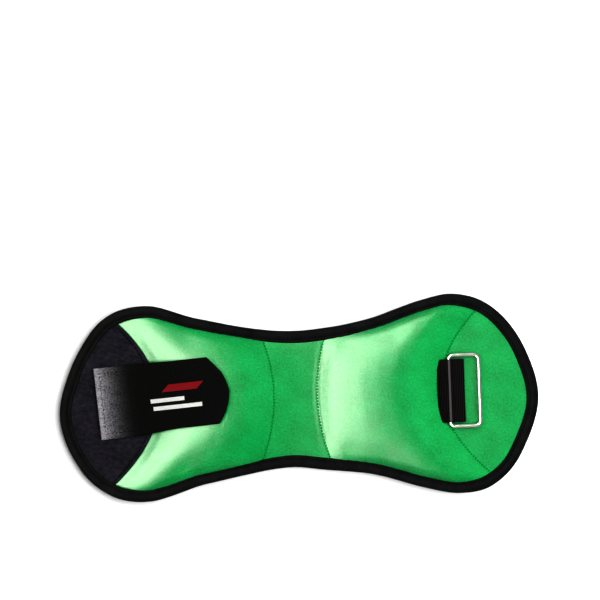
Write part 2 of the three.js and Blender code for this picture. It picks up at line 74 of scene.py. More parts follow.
def joint_named(name):
    return next(joint for joint in frame["joints"] if joint["name"] == name)


def joint_place(name):
    return np.array(joint_named(name)["pos_m"]) / MM


TAPE_THICK = 1.1
RIM_TOP = node_box("left_end_binding")[1][2] - TAPE_THICK  # outer neoprene under the binding's tape
STRAP_PIVOT = joint_place("strap_fold")
STRAP_AXIS = np.array(joint_named("strap_fold")["axis"])
STRAP_ALONG = np.array([-STRAP_AXIS[1], STRAP_AXIS[0]])
RING_LOW, RING_HIGH = node_box("ring")
RING_BAR = joint_place("ring_swing")
KEEPER_LOW, KEEPER_HIGH = node_box("ring_keeper")

HALF_LENGTH = 175

# points that shape the outline, from the left tip over the upper edge and back along the lower
OUTLINE_SHAPE = [
    (-HALF_LENGTH, -8), (-161, 38), (-138, 65.6), (-109, 72), (-72, 61.8), (-30, 52.4),
    (-7, 50.1), (20, 51.6), (55, 57.6), (88, 68.2), (113, 73), (135, 67.6), (158, 46.5),
    (HALF_LENGTH, -1), (160, -47.5), (138, -69.2), (115, -73), (88, -67.8), (55, -57.6), (20, -53),
    (-7, -50), (-30, -52.4), (-72, -60.6), (-112, -71), (-138, -66.6), (-160, -48),
]

# the sewn seams, bowed lines across the cuff: x = apex + bow * (y - middle)^2, between the tips
SEAM_APEX = np.array([-HALF_LENGTH, -103.2, -18, 13.5, 103.4, HALF_LENGTH])
SEAM_BOW = np.array([0, -0.009, -0.0044, 0.0038, 0.0088, 0])
SEAM_MIDDLE = np.array([4, 4, 4, 2, 4, 4])
PATCH, LEFT, RIGHT, RING_SEAM = 1, 2, 3, 4
SEAMS = (PATCH, LEFT, RIGHT, RING_SEAM)

# where the cuff's four pieces meet, each in the middle of a stretch that doesn't bend
SPLITS = (-HALF_LENGTH, -50, -2.5, 56, HALF_LENGTH)
FOLDS = (
    ("left_end", "left_lobe", "left_end_fold"),
    ("left_lobe", "waist", "left_waist_fold"),
    ("waist", "right_lobe", "right_waist_fold"),
    ("right_lobe", "right_end", "right_end_fold"),
)

BINDING_WIDTH = 8.6
HALF_ROWS = 72  # the seams and pockets reach no further than this to either side of the middle


# ---- small helpers ----


def smooth(t):
    t = np.clip(t, 0, 1)
    return t * t * (3 - 2 * t)


def mix(a, b, t):
    return a + (b - a) * t


def ripple(count, wave, seed):
    """A smooth seeded wander over count steps, about 1 high, with waves about wave steps long."""
    noise = np.random.default_rng(seed).normal(size=count + 8 * wave)
    kernel = np.hanning(2 * wave + 1)
    wander = np.convolve(noise, kernel / kernel.sum(), mode="same")[4 * wave : 4 * wave + count]
    return wander / (np.abs(wander).max() + 1e-9)


def points_at(x, y, z):
    """Points from their coordinates; one that doesn't vary may be a plain number."""
    return np.stack(np.broadcast_arrays(x, y, z), axis=-1)


def lengths_along(points):
    """How far along a line each of its points is."""
    steps = np.linalg.norm(np.diff(points, axis=0), axis=1)
    return np.concatenate([[0], np.cumsum(steps)])


def new_object(name, data):
    made = bpy.data.objects.new(name, data)
    bpy.context.scene.collection.objects.link(made)
    return made


def mesh_object(name, points, faces, material, rest=None, sharp=None):
    """A smooth-shaded piece; rest is the place of each point in its cloth, for the weave."""
    mesh = bpy.data.meshes.new(name)
    mesh.from_pydata((np.asarray(points, float) * MM).tolist(), [], faces)
    mesh.update()
    mesh.polygons.foreach_set("use_smooth", [True] * len(mesh.polygons))
    if sharp is not None:
        mesh.set_sharp_from_angle(angle=math.radians(sharp))
    place = mesh.attributes.new("rest", "FLOAT_VECTOR", "POINT")
    source = np.asarray(points if rest is None else rest, float) * MM
    place.data.foreach_set("vector", source.astype(np.float32).ravel())
    mesh.materials.append(material)
    return new_object(name, mesh)


def grid_faces(rows, columns, start=0, flip=False):
    faces = []
    for i in range(rows - 1):
        for a in range(start + i * columns, start + (i + 1) * columns - 1):
            quad = (a, a + columns, a + columns + 1, a + 1)
            faces.append(quad[::-1] if flip else quad)
    return faces


def slab(name, top, bottom, material, rest, sharp=50):
    """A closed solid between two grids of points, each (rows, columns, 3)."""
    rows, columns = top.shape[:2]
    count = rows * columns
    last = columns - 1
    faces = grid_faces(rows, columns) + grid_faces(rows, columns, count, flip=True)
    for i in range(rows - 1):
        a, b = i * columns, (i + 1) * columns
        faces.append((a, count + a, count + b, b))
        faces.append((b + last, count + b + last, count + a + last, a + last))
    for a in range(last):
        faces.append((a + 1, count + a + 1, count + a, a))
        b = (rows - 1) * columns + a
        faces.append((b, count + b, count + b + 1, b + 1))
    points = np.concatenate([top.reshape(-1, 3), bottom.reshape(-1, 3)])
    both = np.concatenate([rest.reshape(-1, 3)] * 2)
    return mesh_object(name, points, faces, material, both, sharp)


def tube_faces(count, sides, start=0, closed=False):
    """The faces over count rings of points, capped at both ends unless they are closed."""
    faces = []
    for i in range(count if closed else count - 1):
        here, ahead = start + i * sides, start + (i + 1) % count * sides
        for j in range(sides):
            n = (j + 1) % sides
            faces.append((here + j, here + n, ahead + n, ahead + j))
    if not closed:
        faces.append(tuple(range(start, start + sides))[::-1])
        faces.append(tuple(range(start + (count - 1) * sides, start + count * sides)))
    return faces


def tube(name, rings, material, rest, closed=False):
    """A skin over rings of points (rings, sides, 3)."""
    faces = tube_faces(*rings.shape[:2], closed=closed)
    return mesh_object(name, rings.reshape(-1, 3), faces, material, rest.reshape(-1, 3), sharp=60)


def two_skins(keep):
    """The kept places of a grid, numbered, and the faces of a closed skin over them: an upper point
    for each place, then a lower one for each."""
    number = -np.ones(keep.shape, int)
    count = int(keep.sum())
    number[keep] = np.arange(count)
    cells = keep[:-1, :-1] & keep[1:, :-1] & keep[1:, 1:] & keep[:-1, 1:]
    faces = []
    open_edges = {}
    for i, j in zip(*np.nonzero(cells)):
        corners = (number[i, j], number[i + 1, j], number[i + 1, j + 1], number[i, j + 1])
        quad = [int(v) for v in corners]
        faces.append(quad)
        faces.append([v + count for v in quad[::-1]])
        for a, b in zip(quad, quad[1:] + quad[:1]):
            if not open_edges.pop((b, a), False):
                open_edges[a, b] = True
    faces += [[b, a, a + count, b + count] for a, b in open_edges]
    return number, count, faces


# ---- outline ----


def closed_spline(shape, steps):
    """A closed centripetal Catmull-Rom curve through the points, with steps points to a span."""
    shape = np.array(shape, float)
    count = len(shape)
    t = np.linspace(0, 1, steps, endpoint=False)[:, None]
    spans = []
    for i in range(count):
        before, here, ahead, beyond = (shape[(i + k) % count] for k in (-1, 0, 1, 2))
        d0, d1, d2 = (
            np.linalg.norm(b - a) ** 0.5 for a, b in ((before, here), (here, ahead), (ahead, beyond))
        )
        leave = ((here - before) / d0 - (ahead - before) / (d0 + d1) + (ahead - here) / d1) * d1
        arrive = ((ahead - here) / d1 - (beyond - here) / (d1 + d2) + (beyond - ahead) / d2) * d1
        c2 = -3 * here + 3 * ahead - 2 * leave - arrive
        c3 = 2 * here - 2 * ahead + leave + arrive
        spans.append(here + leave * t + c2 * t**2 + c3 * t**3)
    return np.concatenate(spans)


def even_spacing(points, spacing):
    """The closed curve's points again, about spacing apart."""
    loop = np.vstack([points, points[:1]])
    lengths = lengths_along(loop)
    count = int(round(lengths[-1] / spacing))
    at = np.linspace(0, lengths[-1], count, endpoint=False)
    return np.stack([np.interp(at, lengths, loop[:, k]) for k in (0, 1)], axis=1)


def square_to_loop(points):
    """At each point of a closed line, the direction square to it, on the right of its run."""
    along = np.roll(points, -1, axis=0) - np.roll(points, 1, axis=0)
    along /= np.linalg.norm(along, axis=1)[:, None]
    return np.stack([along[:, 1], -along[:, 0]], axis=1)


OUTLINE_STEP = 1.2
OUTLINE = even_spacing(closed_spline(OUTLINE_SHAPE, 60), OUTLINE_STEP)
OUTLINE_IN = square_to_loop(OUTLINE)

outline_tree = KDTree(len(OUTLINE))
for index, (px, py) in enumerate(OUTLINE):
    outline_tree.insert((px, py, 0), index)
outline_tree.balance()


def inside_by(x, y):
    """How far each place is inside the outline; negative outside it."""
    shape = np.shape(x)
    result = np.empty(np.size(x))
    for k, (px, py) in enumerate(zip(np.ravel(x), np.ravel(y))):
        near = outline_tree.find((px, py, 0))[1]
        edge, inward = OUTLINE[near], OUTLINE_IN[near]
        result[k] = (px - edge[0]) * inward[0] + (py - edge[1]) * inward[1]
    return result.reshape(shape)


# ---- the cuff's surfaces ----


def seam_x(which, y):
    """Where a seam is at each y."""
    return SEAM_APEX[which] + SEAM_BOW[which] * (y - SEAM_MIDDLE[which]) ** 2


def seam_slant(which, y):
    """The way square to a seam over the way along x, at each y."""
    return 1 / np.sqrt(1 + (2 * SEAM_BOW[which] * (y - SEAM_MIDDLE[which])) ** 2)


def bowed_x(c, y):
    """The x at height y of the line across the cuff that crosses its middle near x = c."""
    bow = np.interp(c, SEAM_APEX, SEAM_BOW)
    middle = np.interp(c, SEAM_APEX, SEAM_MIDDLE)
    return c + bow * (y - middle) ** 2


def line_through(x, y):
    """The line across the cuff that a place is on: the inverse of bowed_x, closed in on by steps."""
    tries, step = 60, 0.7
    c = np.array(x, float)
    for _ in range(tries):
        c = np.clip(c + step * (x - bowed_x(c, y)), -HALF_LENGTH, HALF_LENGTH)
    return c


def lines_apart(spacing):
    """Lines across the cuff, about spacing apart, with one on each seam and each split."""
    stops = sorted(set(SEAM_APEX) | set(SPLITS))
    spans = [
        np.linspace(a, b, max(2, int(round((b - a) / spacing))), endpoint=False)
        for a, b in zip(stops[:-1], stops[1:])
    ]
    return np.concatenate(spans + [[stops[-1]]])


# heights of the outer face over its rim along the middle of the cuff, as (line, rise); the seams
# lie on the slopes between the pockets' crowns and the dip of the waist
PROFILE = [
    (-HALF_LENGTH, 0), (-150, 0.9), (-122, 1.0), (-103.2, 2.4), (-94, 6.0), (-84, 9.3), (-72, 12.0),
    (-58, 14.1), (-48, 14.8), (-40, 14.5), (-33, 12.6), (-26, 9.6), (-18, 6.0), (-12, 4.9), (-4, 3.8),
    (4, 3.2), (10, 3.0), (13.5, 3.6), (24, 7.2), (36, 10.4), (48, 12.8), (60, 14.2), (70, 14.7),
    (77, 14.4), (83, 12.9), (89, 10.3), (95, 7.0), (99.5, 4.2), (103.4, 2.2), (108, 1.7), (122, 1.6),
    (150, 1.2), (HALF_LENGTH, 0),
]
EDGE_START = 7.2  # how far in from its edge, under the tape, the cuff starts to rise
EDGE_WALL = 7.5  # a pocket's cloth stands up steeply over this much, next to its binding
EDGE_REACH = 38  # how far in from there the cuff goes on rising
WALL_SHARE = 0.24  # the share of the rise that the steep stretch makes
EDGE_SHARE = 0.24  # the share of its rise that a full pocket lifts its own bound edge by


def smooth_curve(points, at):
    """A cubic through the points that never swings past them."""
    x, y = np.array(points, float).T
    chord = np.diff(y) / np.diff(x)
    before, after = chord[:-1], chord[1:]
    level = before * after <= 0
    inner = np.where(level, 0, 2 * before * after / np.where(level, 1, before + after))
    slope = np.concatenate([chord[:1], inner, chord[-1:]])
    k = np.clip(np.searchsorted(x, at) - 1, 0, len(x) - 2)
    width = x[k + 1] - x[k]
    t = np.clip((at - x[k]) / width, 0, 1)
    here = (1 + 2 * t) * (1 - t) ** 2
    ahead = t * t * (3 - 2 * t)
    return (
        here * y[k] + ahead * y[k + 1]
        + width * slope[k] * t * (1 - t) ** 2 - width * slope[k + 1] * t * t * (1 - t)
    )


def across_share(depth):
    """How much of its full rise the cuff has at each depth in from its edge, from 0 to 1."""
    inside = depth - EDGE_START
    wall = 1 - (1 - np.clip(inside / EDGE_WALL, 0, 1)) ** 2
    slope = 1 - (1 - np.clip(inside / EDGE_REACH, 0, 1)) ** 2
    return mix(slope, wall, WALL_SHARE)


def edge_lift(c):
    """How high the bound edge stands off the table beside a full pocket."""
    return EDGE_SHARE * smooth_curve(PROFILE, c)


def plain_height(c, depth):
    """The outer face before its pockets are filled by simulation."""
    share = EDGE_SHARE + (1 - EDGE_SHARE) * across_share(depth)
    return RIM_TOP + smooth_curve(PROFILE, c) * share


POCKET_GRID = 2.0
POCKET_EDGE = 3  # the simulated cloth starts this far in from the cuff's edge
POCKET_HELD = 7.4  # and is held still up to this far in, as it is along its two seams
POCKET_LOW = 2  # its still underside lies this far under the rim
POCKET_FRAMES = 26
POCKET_CLOTH = {
    "quality": 6, "mass": 0.12, "tension_stiffness": 9, "compression_stiffness": 7,
    "shear_stiffness": 4, "bending_stiffness": 30, "use_pressure": True,
    "uniform_pressure_force": 5, "shrink_min": -0.002, "vertex_group_mass": "pin",
}


def settled_points(pocket):
    """The places of the pocket's points after its cloth has been simulated."""
    cloth = pocket.modifiers.new("Cloth", "CLOTH")
    for key, value in POCKET_CLOTH.items():
        setattr(cloth.settings, key, value)
    cloth.settings.effector_weights.gravity = 0
    cloth.point_cache.frame_start = 1
    cloth.point_cache.frame_end = POCKET_FRAMES
    scene = bpy.context.scene
    for step in range(1, POCKET_FRAMES + 1):
        scene.frame_set(step)
    evaluated = pocket.evaluated_get(bpy.context.evaluated_depsgraph_get())
    points = np.array([v.co for v in evaluated.data.vertices]) / MM
    scene.frame_set(1)
    return points


def puffed_pocket(start):
    """One pocket filled by cloth simulation; returns its grid's lines, rows and movements."""
    cs = lines_apart(POCKET_GRID)
    cs = cs[(cs >= SEAM_APEX[start]) & (cs <= SEAM_APEX[start + 1])]
    ys = np.arange(-HALF_ROWS, HALF_ROWS + 0.1, POCKET_GRID)
    c, y = np.meshgrid(cs, ys, indexing="ij")
    x = bowed_x(c, y)
    depth = inside_by(x, y)
    z = plain_height(c, depth)
    keep = depth > POCKET_EDGE
    number, count, faces = two_skins(keep)
    top = points_at(x[keep], y[keep], z[keep])
    low = points_at(x[keep], y[keep], RIM_TOP - POCKET_LOW)
    mesh = bpy.data.meshes.new("pocket")
    mesh.from_pydata((np.concatenate([top, low]) * MM).tolist(), [], faces)
    pocket = new_object("pocket", mesh)
    on_seam = (c < SEAM_APEX[start] + 0.1) | (c > SEAM_APEX[start + 1] - 0.1)
    pinned = number[((depth < POCKET_HELD) | on_seam) & keep]
    group = pocket.vertex_groups.new(name="pin")
    group.add([int(v) for v in pinned] + list(range(count, 2 * count)), 1, "REPLACE")
    moved = np.zeros(keep.shape + (3,))
    moved[keep] = settled_points(pocket)[:count] - top
    bpy.data.objects.remove(pocket)
    bpy.data.meshes.remove(mesh)
    return cs, ys, moved


def resample(values, cs, ys, new_cs, new_ys):
    """Smooth values on a coarse grid, taken at the lines and rows of a finer one."""
    passes = 60
    along = np.stack([np.interp(new_cs, cs, column) for column in values.T], axis=1)
    fine = np.stack([np.interp(new_ys, ys, row) for row in along], axis=0)
    for _ in range(passes):
        inner = fine[1:-1, 1:-1]
        around = fine[:-2, 1:-1] + fine[2:, 1:-1] + fine[1:-1, :-2] + fine[1:-1, 2:]
        fine[1:-1, 1:-1] = 0.5 * inner + 0.125 * around
    return fine


FINE = 1.0
lines = lines_apart(FINE)
rows = np.arange(-74, 74.1, FINE)
line_grid, row_grid = np.meshgrid(lines, rows, indexing="ij")
x_grid = bowed_x(line_grid, row_grid)
depth_grid = inside_by(x_grid, row_grid)
uncovered = smooth((depth_grid - 6) / 6)  # 0 under the tape, 1 where the cuff shows


def seam_distance(x, y, which):
    """How far a place is from a seam, measured square to it."""
    return np.abs(x - seam_x(which, y)) * seam_slant(which, y)


def sewn_down(x, y, reach):
    """1 on the seams, falling to 0 at reach."""
    share = np.zeros(np.shape(x))
    for which in SEAMS:
        share = np.maximum(share, np.exp(-((seam_distance(x, y, which) / reach) ** 2)))
    return share


MOST_MOVED = 2.2  # the simulated cloth may end this far from its drawn shape
NOTCHES = ((PATCH, 0.4), (LEFT, 0.25), (RIGHT, 0.4), (RING_SEAM, 0.1))  # how deep each seam sinks
GATHER_HEIGHT, GATHER_PITCH = 0.07, 7.3
GATHER_FROM, GATHER_TO = 1.6, 7  # how far from a seam the gathers begin and fade out


def outer_surface():
    """The upper face: the filled pockets, the seams that hold them and the gathers beside those."""
    height = plain_height(line_grid, depth_grid)
    x, y = x_grid.copy(), row_grid.copy()
    for start in (PATCH, RIGHT):
        cs, ys, moved = puffed_pocket(start)
        inside = (lines >= SEAM_APEX[start]) & (lines <= SEAM_APEX[start + 1])
        fine = [resample(moved[..., k], cs, ys, lines[inside], rows) for k in range(3)]
        # the edge itself is held by the tape, so the cloth's movement fades in beside it
        settled = smooth((depth_grid[inside] - 5) / 4)
        shift = [MOST_MOVED * np.tanh(part / MOST_MOVED) * settled for part in fine]
        x[inside] += shift[0]
        y[inside] += shift[1]
        height[inside] += shift[2]
    for which, notch in NOTCHES:
        height -= uncovered * notch * np.exp(-(seam_distance(x_grid, row_grid, which) ** 2))
    # gathers that run out of the seams, where the stitches draw the cloth in
    near = sewn_down(x_grid, row_grid, GATHER_TO) - sewn_down(x_grid, row_grid, GATHER_FROM)
    gathers = np.sin(row_grid * 2 * np.pi / GATHER_PITCH + 1.7 * np.sin(row_grid / 9.1))
    height += uncovered * GATHER_HEIGHT * near * gathers
    return x, y, height


# how far the inner face is drawn up at each seam, and over the whole waist
SEAM_LIFTS = ((PATCH, 0.5), (LEFT, 3.0), (RIGHT, 3.0), (RING_SEAM, 0.6))
SEAM_LIFT_REACH = 11
WAIST_LIFT = 1.2


def inner_surface():
    """The face that lies on the table: flat under the pockets, lifted where they are sewn."""
    drawn_up = np.zeros(np.shape(x_grid))
    for which, lift in SEAM_LIFTS:
        gap = seam_distance(x_grid, row_grid, which)
        drawn_up = np.maximum(drawn_up, lift * np.exp(-((gap / SEAM_LIFT_REACH) ** 2)))
    waist = (line_grid > SEAM_APEX[LEFT]) & (line_grid < SEAM_APEX[RIGHT])
    drawn_up = np.where(waist, np.maximum(drawn_up, WAIST_LIFT), drawn_up)
    lifted = edge_lift(line_grid) * (1 - smooth((depth_grid - 4) / 18))
    rim = 1 - smooth((depth_grid - 7) / 5)
    height = 0.15 + lifted + drawn_up * across_share(depth_grid) + 1.0 * rim
    pinched = 0.8 * sewn_down(x_grid, row_grid, 1.5) + 0.4 * sewn_down(x_grid, row_grid, 4)
    return height + uncovered * pinched


outer_x, outer_y, outer_z = outer_surface()
inner_z = inner_surface()


def outer_at(x, y):
    """The outer face's height at any place."""
    x, y = np.broadcast_arrays(np.asarray(x, float), np.asarray(y, float))
    c = line_through(x, y)
    i = np.clip(np.searchsorted(lines, c) - 1, 0, len(lines) - 2)
    u = np.clip((c - lines[i]) / (lines[i + 1] - lines[i]), 0, 1)
    j = np.clip(((y - rows[0]) / FINE).astype(int), 0, len(rows) - 2)
    v = np.clip((y - rows[j]) / FINE, 0, 1)
    low = mix(outer_z[i, j], outer_z[i + 1, j], u)
    high = mix(outer_z[i, j + 1], outer_z[i + 1, j + 1], u)
    return mix(low, high, v)


# ---- materials ----


class Shader:
    """A material under construction, with its nodes made and linked in one call each."""

    def __init__(self, name, color, roughness):
        self.material = bpy.data.materials.new(name)
        self.material.use_nodes = True
        self.tree = self.material.node_tree
        self.surface = self.tree.nodes["Principled BSDF"]
        self.surface.inputs["Base Color"].default_value = (*color, 1)
        self.surface.inputs["Roughness"].default_value = roughness

    def node(self, kind, inputs=None, **settings):
        made = self.tree.nodes.new(kind)
        for key, value in settings.items():
            setattr(made, key, value)
        for key, value in (inputs or {}).items():
            if isinstance(value, bpy.types.NodeSocket):
                self.tree.links.new(value, made.inputs[key])
            else:
                made.inputs[key].default_value = value
        return made

    def rest(self):
        return self.node("ShaderNodeAttribute", attribute_name="rest").outputs["Vector"]

    def along(self, vector):
        return self.node("ShaderNodeSeparateXYZ", {"Vector": vector}).outputs["X"]

    def turned(self, vector, degrees=0, scale=(1, 1, 1)):
        made = self.node("ShaderNodeMapping", {"Vector": vector, "Scale": scale})
        made.inputs["Rotation"].default_value[2] = math.radians(degrees)
        return made.outputs["Vector"]

    def waves(self, vector, pitch, along="X", distortion=0.0, detail=0.0):
        """Bands square to one direction, pitch millimetres apart, from 0 to 1."""
        made = self.node(
            "ShaderNodeTexWave",
            {"Vector": vector, "Scale": 2 * math.pi / 20 / (pitch * MM), "Distortion": distortion,
             "Detail": detail},
            wave_type="BANDS", bands_direction=along,
        )
        return made.outputs["Fac"]

    def weave(self, vector, picks, ends, distortions, detail=0.0):
        """Threads crossing at their two pitches in millimetres, along the cloth and across it."""
        lengthways = self.waves(vector, picks, "X", distortions[0], detail)
        crossways = self.waves(vector, ends, "Y", distortions[1], detail)
        return self.math("MULTIPLY", lengthways, crossways)

    def noise(self, vector, size, detail=2.0, rough=0.5):
        """Blotches about size millimetres across, from 0 to 1."""
        made = self.node(
            "ShaderNodeTexNoise",
            {"Vector": vector, "Scale": 1 / (size * MM), "Detail": detail, "Roughness": rough},
        )
        return made.outputs["Fac"]

    def cells(self, vector, size, feature="F1"):
        made = self.node(
            "ShaderNodeTexVoronoi", {"Vector": vector, "Scale": 1 / (size * MM)}, feature=feature
        )
        return made.outputs["Distance"]

    def math(self, operation, a, b):
        return self.node("ShaderNodeMath", {0: a, 1: b}, operation=operation).outputs[0]

    def weighted(self, a, share_a, b, share_b):
        """The sum of two values, each times its share."""
        return self.math("ADD", self.math("MULTIPLY", a, share_a), self.math("MULTIPLY", b, share_b))

    def between(self, value, low, high, new_low=0.0, new_high=1.0):
        made = self.node(
            "ShaderNodeMapRange",
            {"Value": value, "From Min": low, "From Max": high, "To Min": new_low, "To Max": new_high},
        )
        return made.outputs["Result"]

    def blend(self, factor, a, b):
        """A colour between two, each a colour or another node's output."""
        made = self.node("ShaderNodeMix", {"Factor": factor}, data_type="RGBA")
        for socket, value in ((6, a), (7, b)):
            if isinstance(value, bpy.types.NodeSocket):
                self.tree.links.new(value, made.inputs[socket])
            else:
                made.inputs[socket].default_value = (*value, 1)
        return made.outputs[2]

    def shade(self, value, low, high, dark, light):
        """The colour between two, as a value runs from low to high."""
        return self.blend(self.between(value, low, high), dark, light)

    def color(self, value):
        self.tree.links.new(value, self.surface.inputs["Base Color"])

    def roughness(self, value):
        self.tree.links.new(value, self.surface.inputs["Roughness"])

    def bump(self, height, depth, strength=1.0):
        made = self.node(
            "ShaderNodeBump", {"Height": height, "Distance": depth * MM, "Strength": strength}
        )
        self.tree.links.new(made.outputs["Normal"], self.surface.inputs["Normal"])

    def set(self, **inputs):
        for key, value in inputs.items():
            label = key.replace("_", " ").title().replace("Ior", "IOR")
            self.surface.inputs[label].default_value = value


def neoprene_material():
    """Nylon jersey over foam: a fine knit with a soft bloom and slightly mottled dye."""
    made = Shader("neoprene_green", (0.003, 0.26, 0.04), 0.5)
    rest = made.rest()
    knit = made.weave(rest, 0.62, 0.85, (1.2, 1.2), detail=1)
    grain = made.noise(rest, 1.4, detail=4, rough=0.65)
    cloud = made.noise(rest, 16, detail=3)
    height = made.weighted(knit, 0.25, grain, 1.0)
    tone = made.weighted(cloud, 0.3, height, 0.8)
    made.color(made.shade(tone, 0.4, 0.9, (0.0003, 0.15, 0.036), (0.0005, 0.36, 0.105)))
    made.roughness(made.between(grain, 0.3, 0.7, 0.28, 0.38))
    made.bump(height, 0.12, 1.0)
    made.set(sheen_weight=0.02, sheen_roughness=0.5, sheen_tint=(0.6, 1, 0.6, 1), specular_ior_level=0.45)
    return made.material


def binding_material():
    """Black ribbed stretch tape, its ribs running along the edge."""
    made = Shader("binding_tape", (0.008, 0.009, 0.011), 0.72)
    rest = made.rest()
    ribs = made.weave(rest, 1.1, 0.9, (0.8, 0.6))
    fuzz = made.noise(rest, 0.5, detail=4, rough=0.65)
    cloud = made.noise(rest, 9, detail=3)
    height = made.weighted(ribs, 0.7, fuzz, 0.6)
    tone = made.weighted(cloud, 0.5, height, 0.5)
    made.color(made.shade(tone, 0.3, 0.8, (0.003, 0.0036, 0.0036), (0.018, 0.02, 0.021)))
    made.roughness(made.between(fuzz, 0.3, 0.7, 0.55, 0.8))
    made.bump(height, 0.22, 0.8)
    made.set(sheen_weight=0.02, sheen_roughness=0.4, specular_ior_level=0.06)
    return made.material


def loop_material():
    """Brushed loop pile, dusty black with a slight violet cast."""
    made = Shader("loop_pile", (0.018, 0.015, 0.024), 0.9)
    rest = made.rest()
    tufts = made.cells(rest, 0.7)
    fuzz = made.noise(rest, 0.45, detail=5, rough=0.7)
    nap = made.noise(made.turned(rest, 25, (1, 1.4, 1)), 4, detail=4, rough=0.65)
    cloud = made.noise(rest, 22, detail=2)
    height = made.weighted(tufts, 0.6, fuzz, 0.8)
    tone = made.weighted(nap, 0.5, fuzz, 0.5)
    tone = made.math("ADD", tone, made.math("MULTIPLY", cloud, 0.25))
    made.color(made.shade(tone, 0.42, 0.85, (0.004, 0.004, 0.0055), (0.052, 0.049, 0.062)))
    made.bump(height, 0.45, 0.9)
    made.set(sheen_weight=0.03, sheen_roughness=0.5, sheen_tint=(0.8, 0.78, 1, 1), specular_ior_level=0.04)
    return made.material


def strap_material():
    """Woven black strap, with a painted highlight: its sewn root pale grey at its end, fading to black
    towards the fold.
    """
    made = Shader("strap_weave", (0.006, 0.007, 0.008), 0.7)
    rest = made.rest()
    weave = made.weave(rest, 1.0, 0.8, (0.7, 0.5), detail=1)
    fuzz = made.noise(rest, 0.55, detail=5, rough=0.72)
    cloud = made.noise(made.turned(rest, 0, (0.6, 1.6, 1)), 7, detail=3)
    height = made.weighted(weave, 0.7, fuzz, 0.6)
    # painted highlight: pale speckled grey at the root's end, fading to black by the fold, where light
    # falls on the strap rising off the patch
    nap = made.between(made.along(rest), -0.029, 0.002, 1.0, 0.0)
    speckle = made.noise(rest, 1.2, detail=3, rough=0.6)
    patchy = made.between(made.weighted(speckle, 1.1, cloud, 0.4), 0.5, 0.95)
    painted_root_highlight = made.math("MULTIPLY", made.math("POWER", nap, 2.8), made.math("ADD", patchy, 0.2))
    base = made.shade(height, 0.3, 1.0, (0.003, 0.0038, 0.0036), (0.018, 0.0205, 0.02))
    made.color(made.blend(painted_root_highlight, base, (0.42, 0.4, 0.43)))
    made.bump(height, 0.4, 1.0)
    made.set(sheen_weight=0.02, sheen_roughness=0.4, specular_ior_level=0.05)
    return made.material


def webbing_material():
    """Tight black webbing, ribbed across its length, with a painted highlight: a pale line where it turns
    over the bar.
    """
    made = Shader("keeper_webbing", (0.01, 0.01, 0.011), 0.6)
    rest = made.rest()
    picks = made.waves(rest, 1.3, "X", distortion=0.3)
    ends = made.waves(rest, 0.7, "Y", distortion=0.5)
    fuzz = made.noise(rest, 0.4, detail=4, rough=0.6)
    height = made.weighted(picks, 0.9, ends, 0.35)
    height = made.math("ADD", height, made.math("MULTIPLY", fuzz, 0.3))
    black = made.shade(height, 0.3, 1.4, (0.002, 0.002, 0.0024), (0.022, 0.019, 0.02))
    # painted highlight: a pale speckled line along the top of the ridge where the webbing turns over the
    # bar
    from_bar = made.math("ABSOLUTE", made.along(rest), 0.0)
    over_bar = made.between(from_bar, 0.0003, 0.001, 1.0, 0.0)
    painted_ridge_highlight = made.math("MULTIPLY", over_bar, made.between(fuzz, 0.3, 0.6))
    made.color(made.blend(painted_ridge_highlight, black, (0.14, 0.13, 0.13)))
    made.bump(height, 0.3, 0.9)
    made.set(sheen_weight=0.02, sheen_roughness=0.4, specular_ior_level=0.04)
    return made.material


def hook_material():
    """Hook tape: small stiff hooks in lanes."""
    made = Shader("hook_tape", (0.014, 0.014, 0.016), 0.5)
    rest = made.rest()
    hooks = made.cells(rest, 1.1)
    lanes = made.waves(rest, 1.4, "Y", distortion=0.4)
    height = made.math("SUBTRACT", made.math("MULTIPLY", lanes, 0.5), hooks)
    made.color(made.shade(height, -0.8, 0.4, (0.004, 0.004, 0.005), (0.04, 0.04, 0.045)))
    made.bump(height, 0.6, 0.9)
    made.set(specular_ior_level=0.5)
    return made.material


def thread_material(name, dark, light):
    """Twisted thread, between two shades."""
    made = Shader(name, dark, 0.55)
    rest = made.rest()
    ply = made.waves(made.turned(rest, 35), 0.45, "X", distortion=0.3)
    made.color(made.blend(ply, dark, light))
    made.bump(ply, 0.08, 0.8)
    made.set(specular_ior_level=0.03)
    return made.material


def print_material(name, color):
    """Rubbery print that lets a little of the weave through."""
    made = Shader(name, color, 0.6)
    rest = made.rest()
    weave = made.weave(rest, 1.0, 0.8, (0.5, 0.5))
    speck = made.noise(rest, 0.8, detail=3)
    dull = tuple(0.78 * channel for channel in color)
    made.color(made.shade(speck, 0.35, 0.65, dull, color))
    made.bump(weave, 0.08, 0.5)
    made.set(specular_ior_level=0.06)
    return made.material


def chrome_material():
    """Bright nickel plate with fine drawn scratches."""
    made = Shader("ring_plate", (0.88, 0.9, 0.86), 0.12)
    rest = made.rest()
    scratches = made.noise(made.turned(rest, 0, (1, 0.08, 1)), 0.3, detail=4)
    smudge = made.noise(rest, 6, detail=3)
    made.roughness(made.between(made.math("ADD", scratches, smudge), 0.8, 1.3, 0.3, 0.42))
    made.color(made.blend(smudge, (0.4, 0.42, 0.4), (0.55, 0.57, 0.55)))
    made.bump(scratches, 0.002, 0.3)
    made.set(metallic=1.0)
    return made.material


def film_material():
    """The weight bags' creased pale film."""
    made = Shader("bag_film", (0.75, 0.76, 0.74), 0.4)
    rest = made.rest()
    crease = made.noise(rest, 4, detail=5)
    made.color(made.blend(crease, (0.62, 0.63, 0.61), (0.82, 0.83, 0.81)))
    made.bump(crease, 0.5, 0.5)
    return made.material


def shot_material():
    """Coarse iron sand."""
    made = Shader("iron_sand", (0.1, 0.1, 0.1), 0.6)
    coordinates = made.node("ShaderNodeTexCoord").outputs["Object"]
    grains = made.cells(coordinates, 0.9)
    made.color(made.shade(grains, 0, 0.8, (0.2, 0.19, 0.19), (0.02, 0.02, 0.02)))
    made.bump(grains, 0.6, 0.8)
    made.set(metallic=0.7)
    return made.material


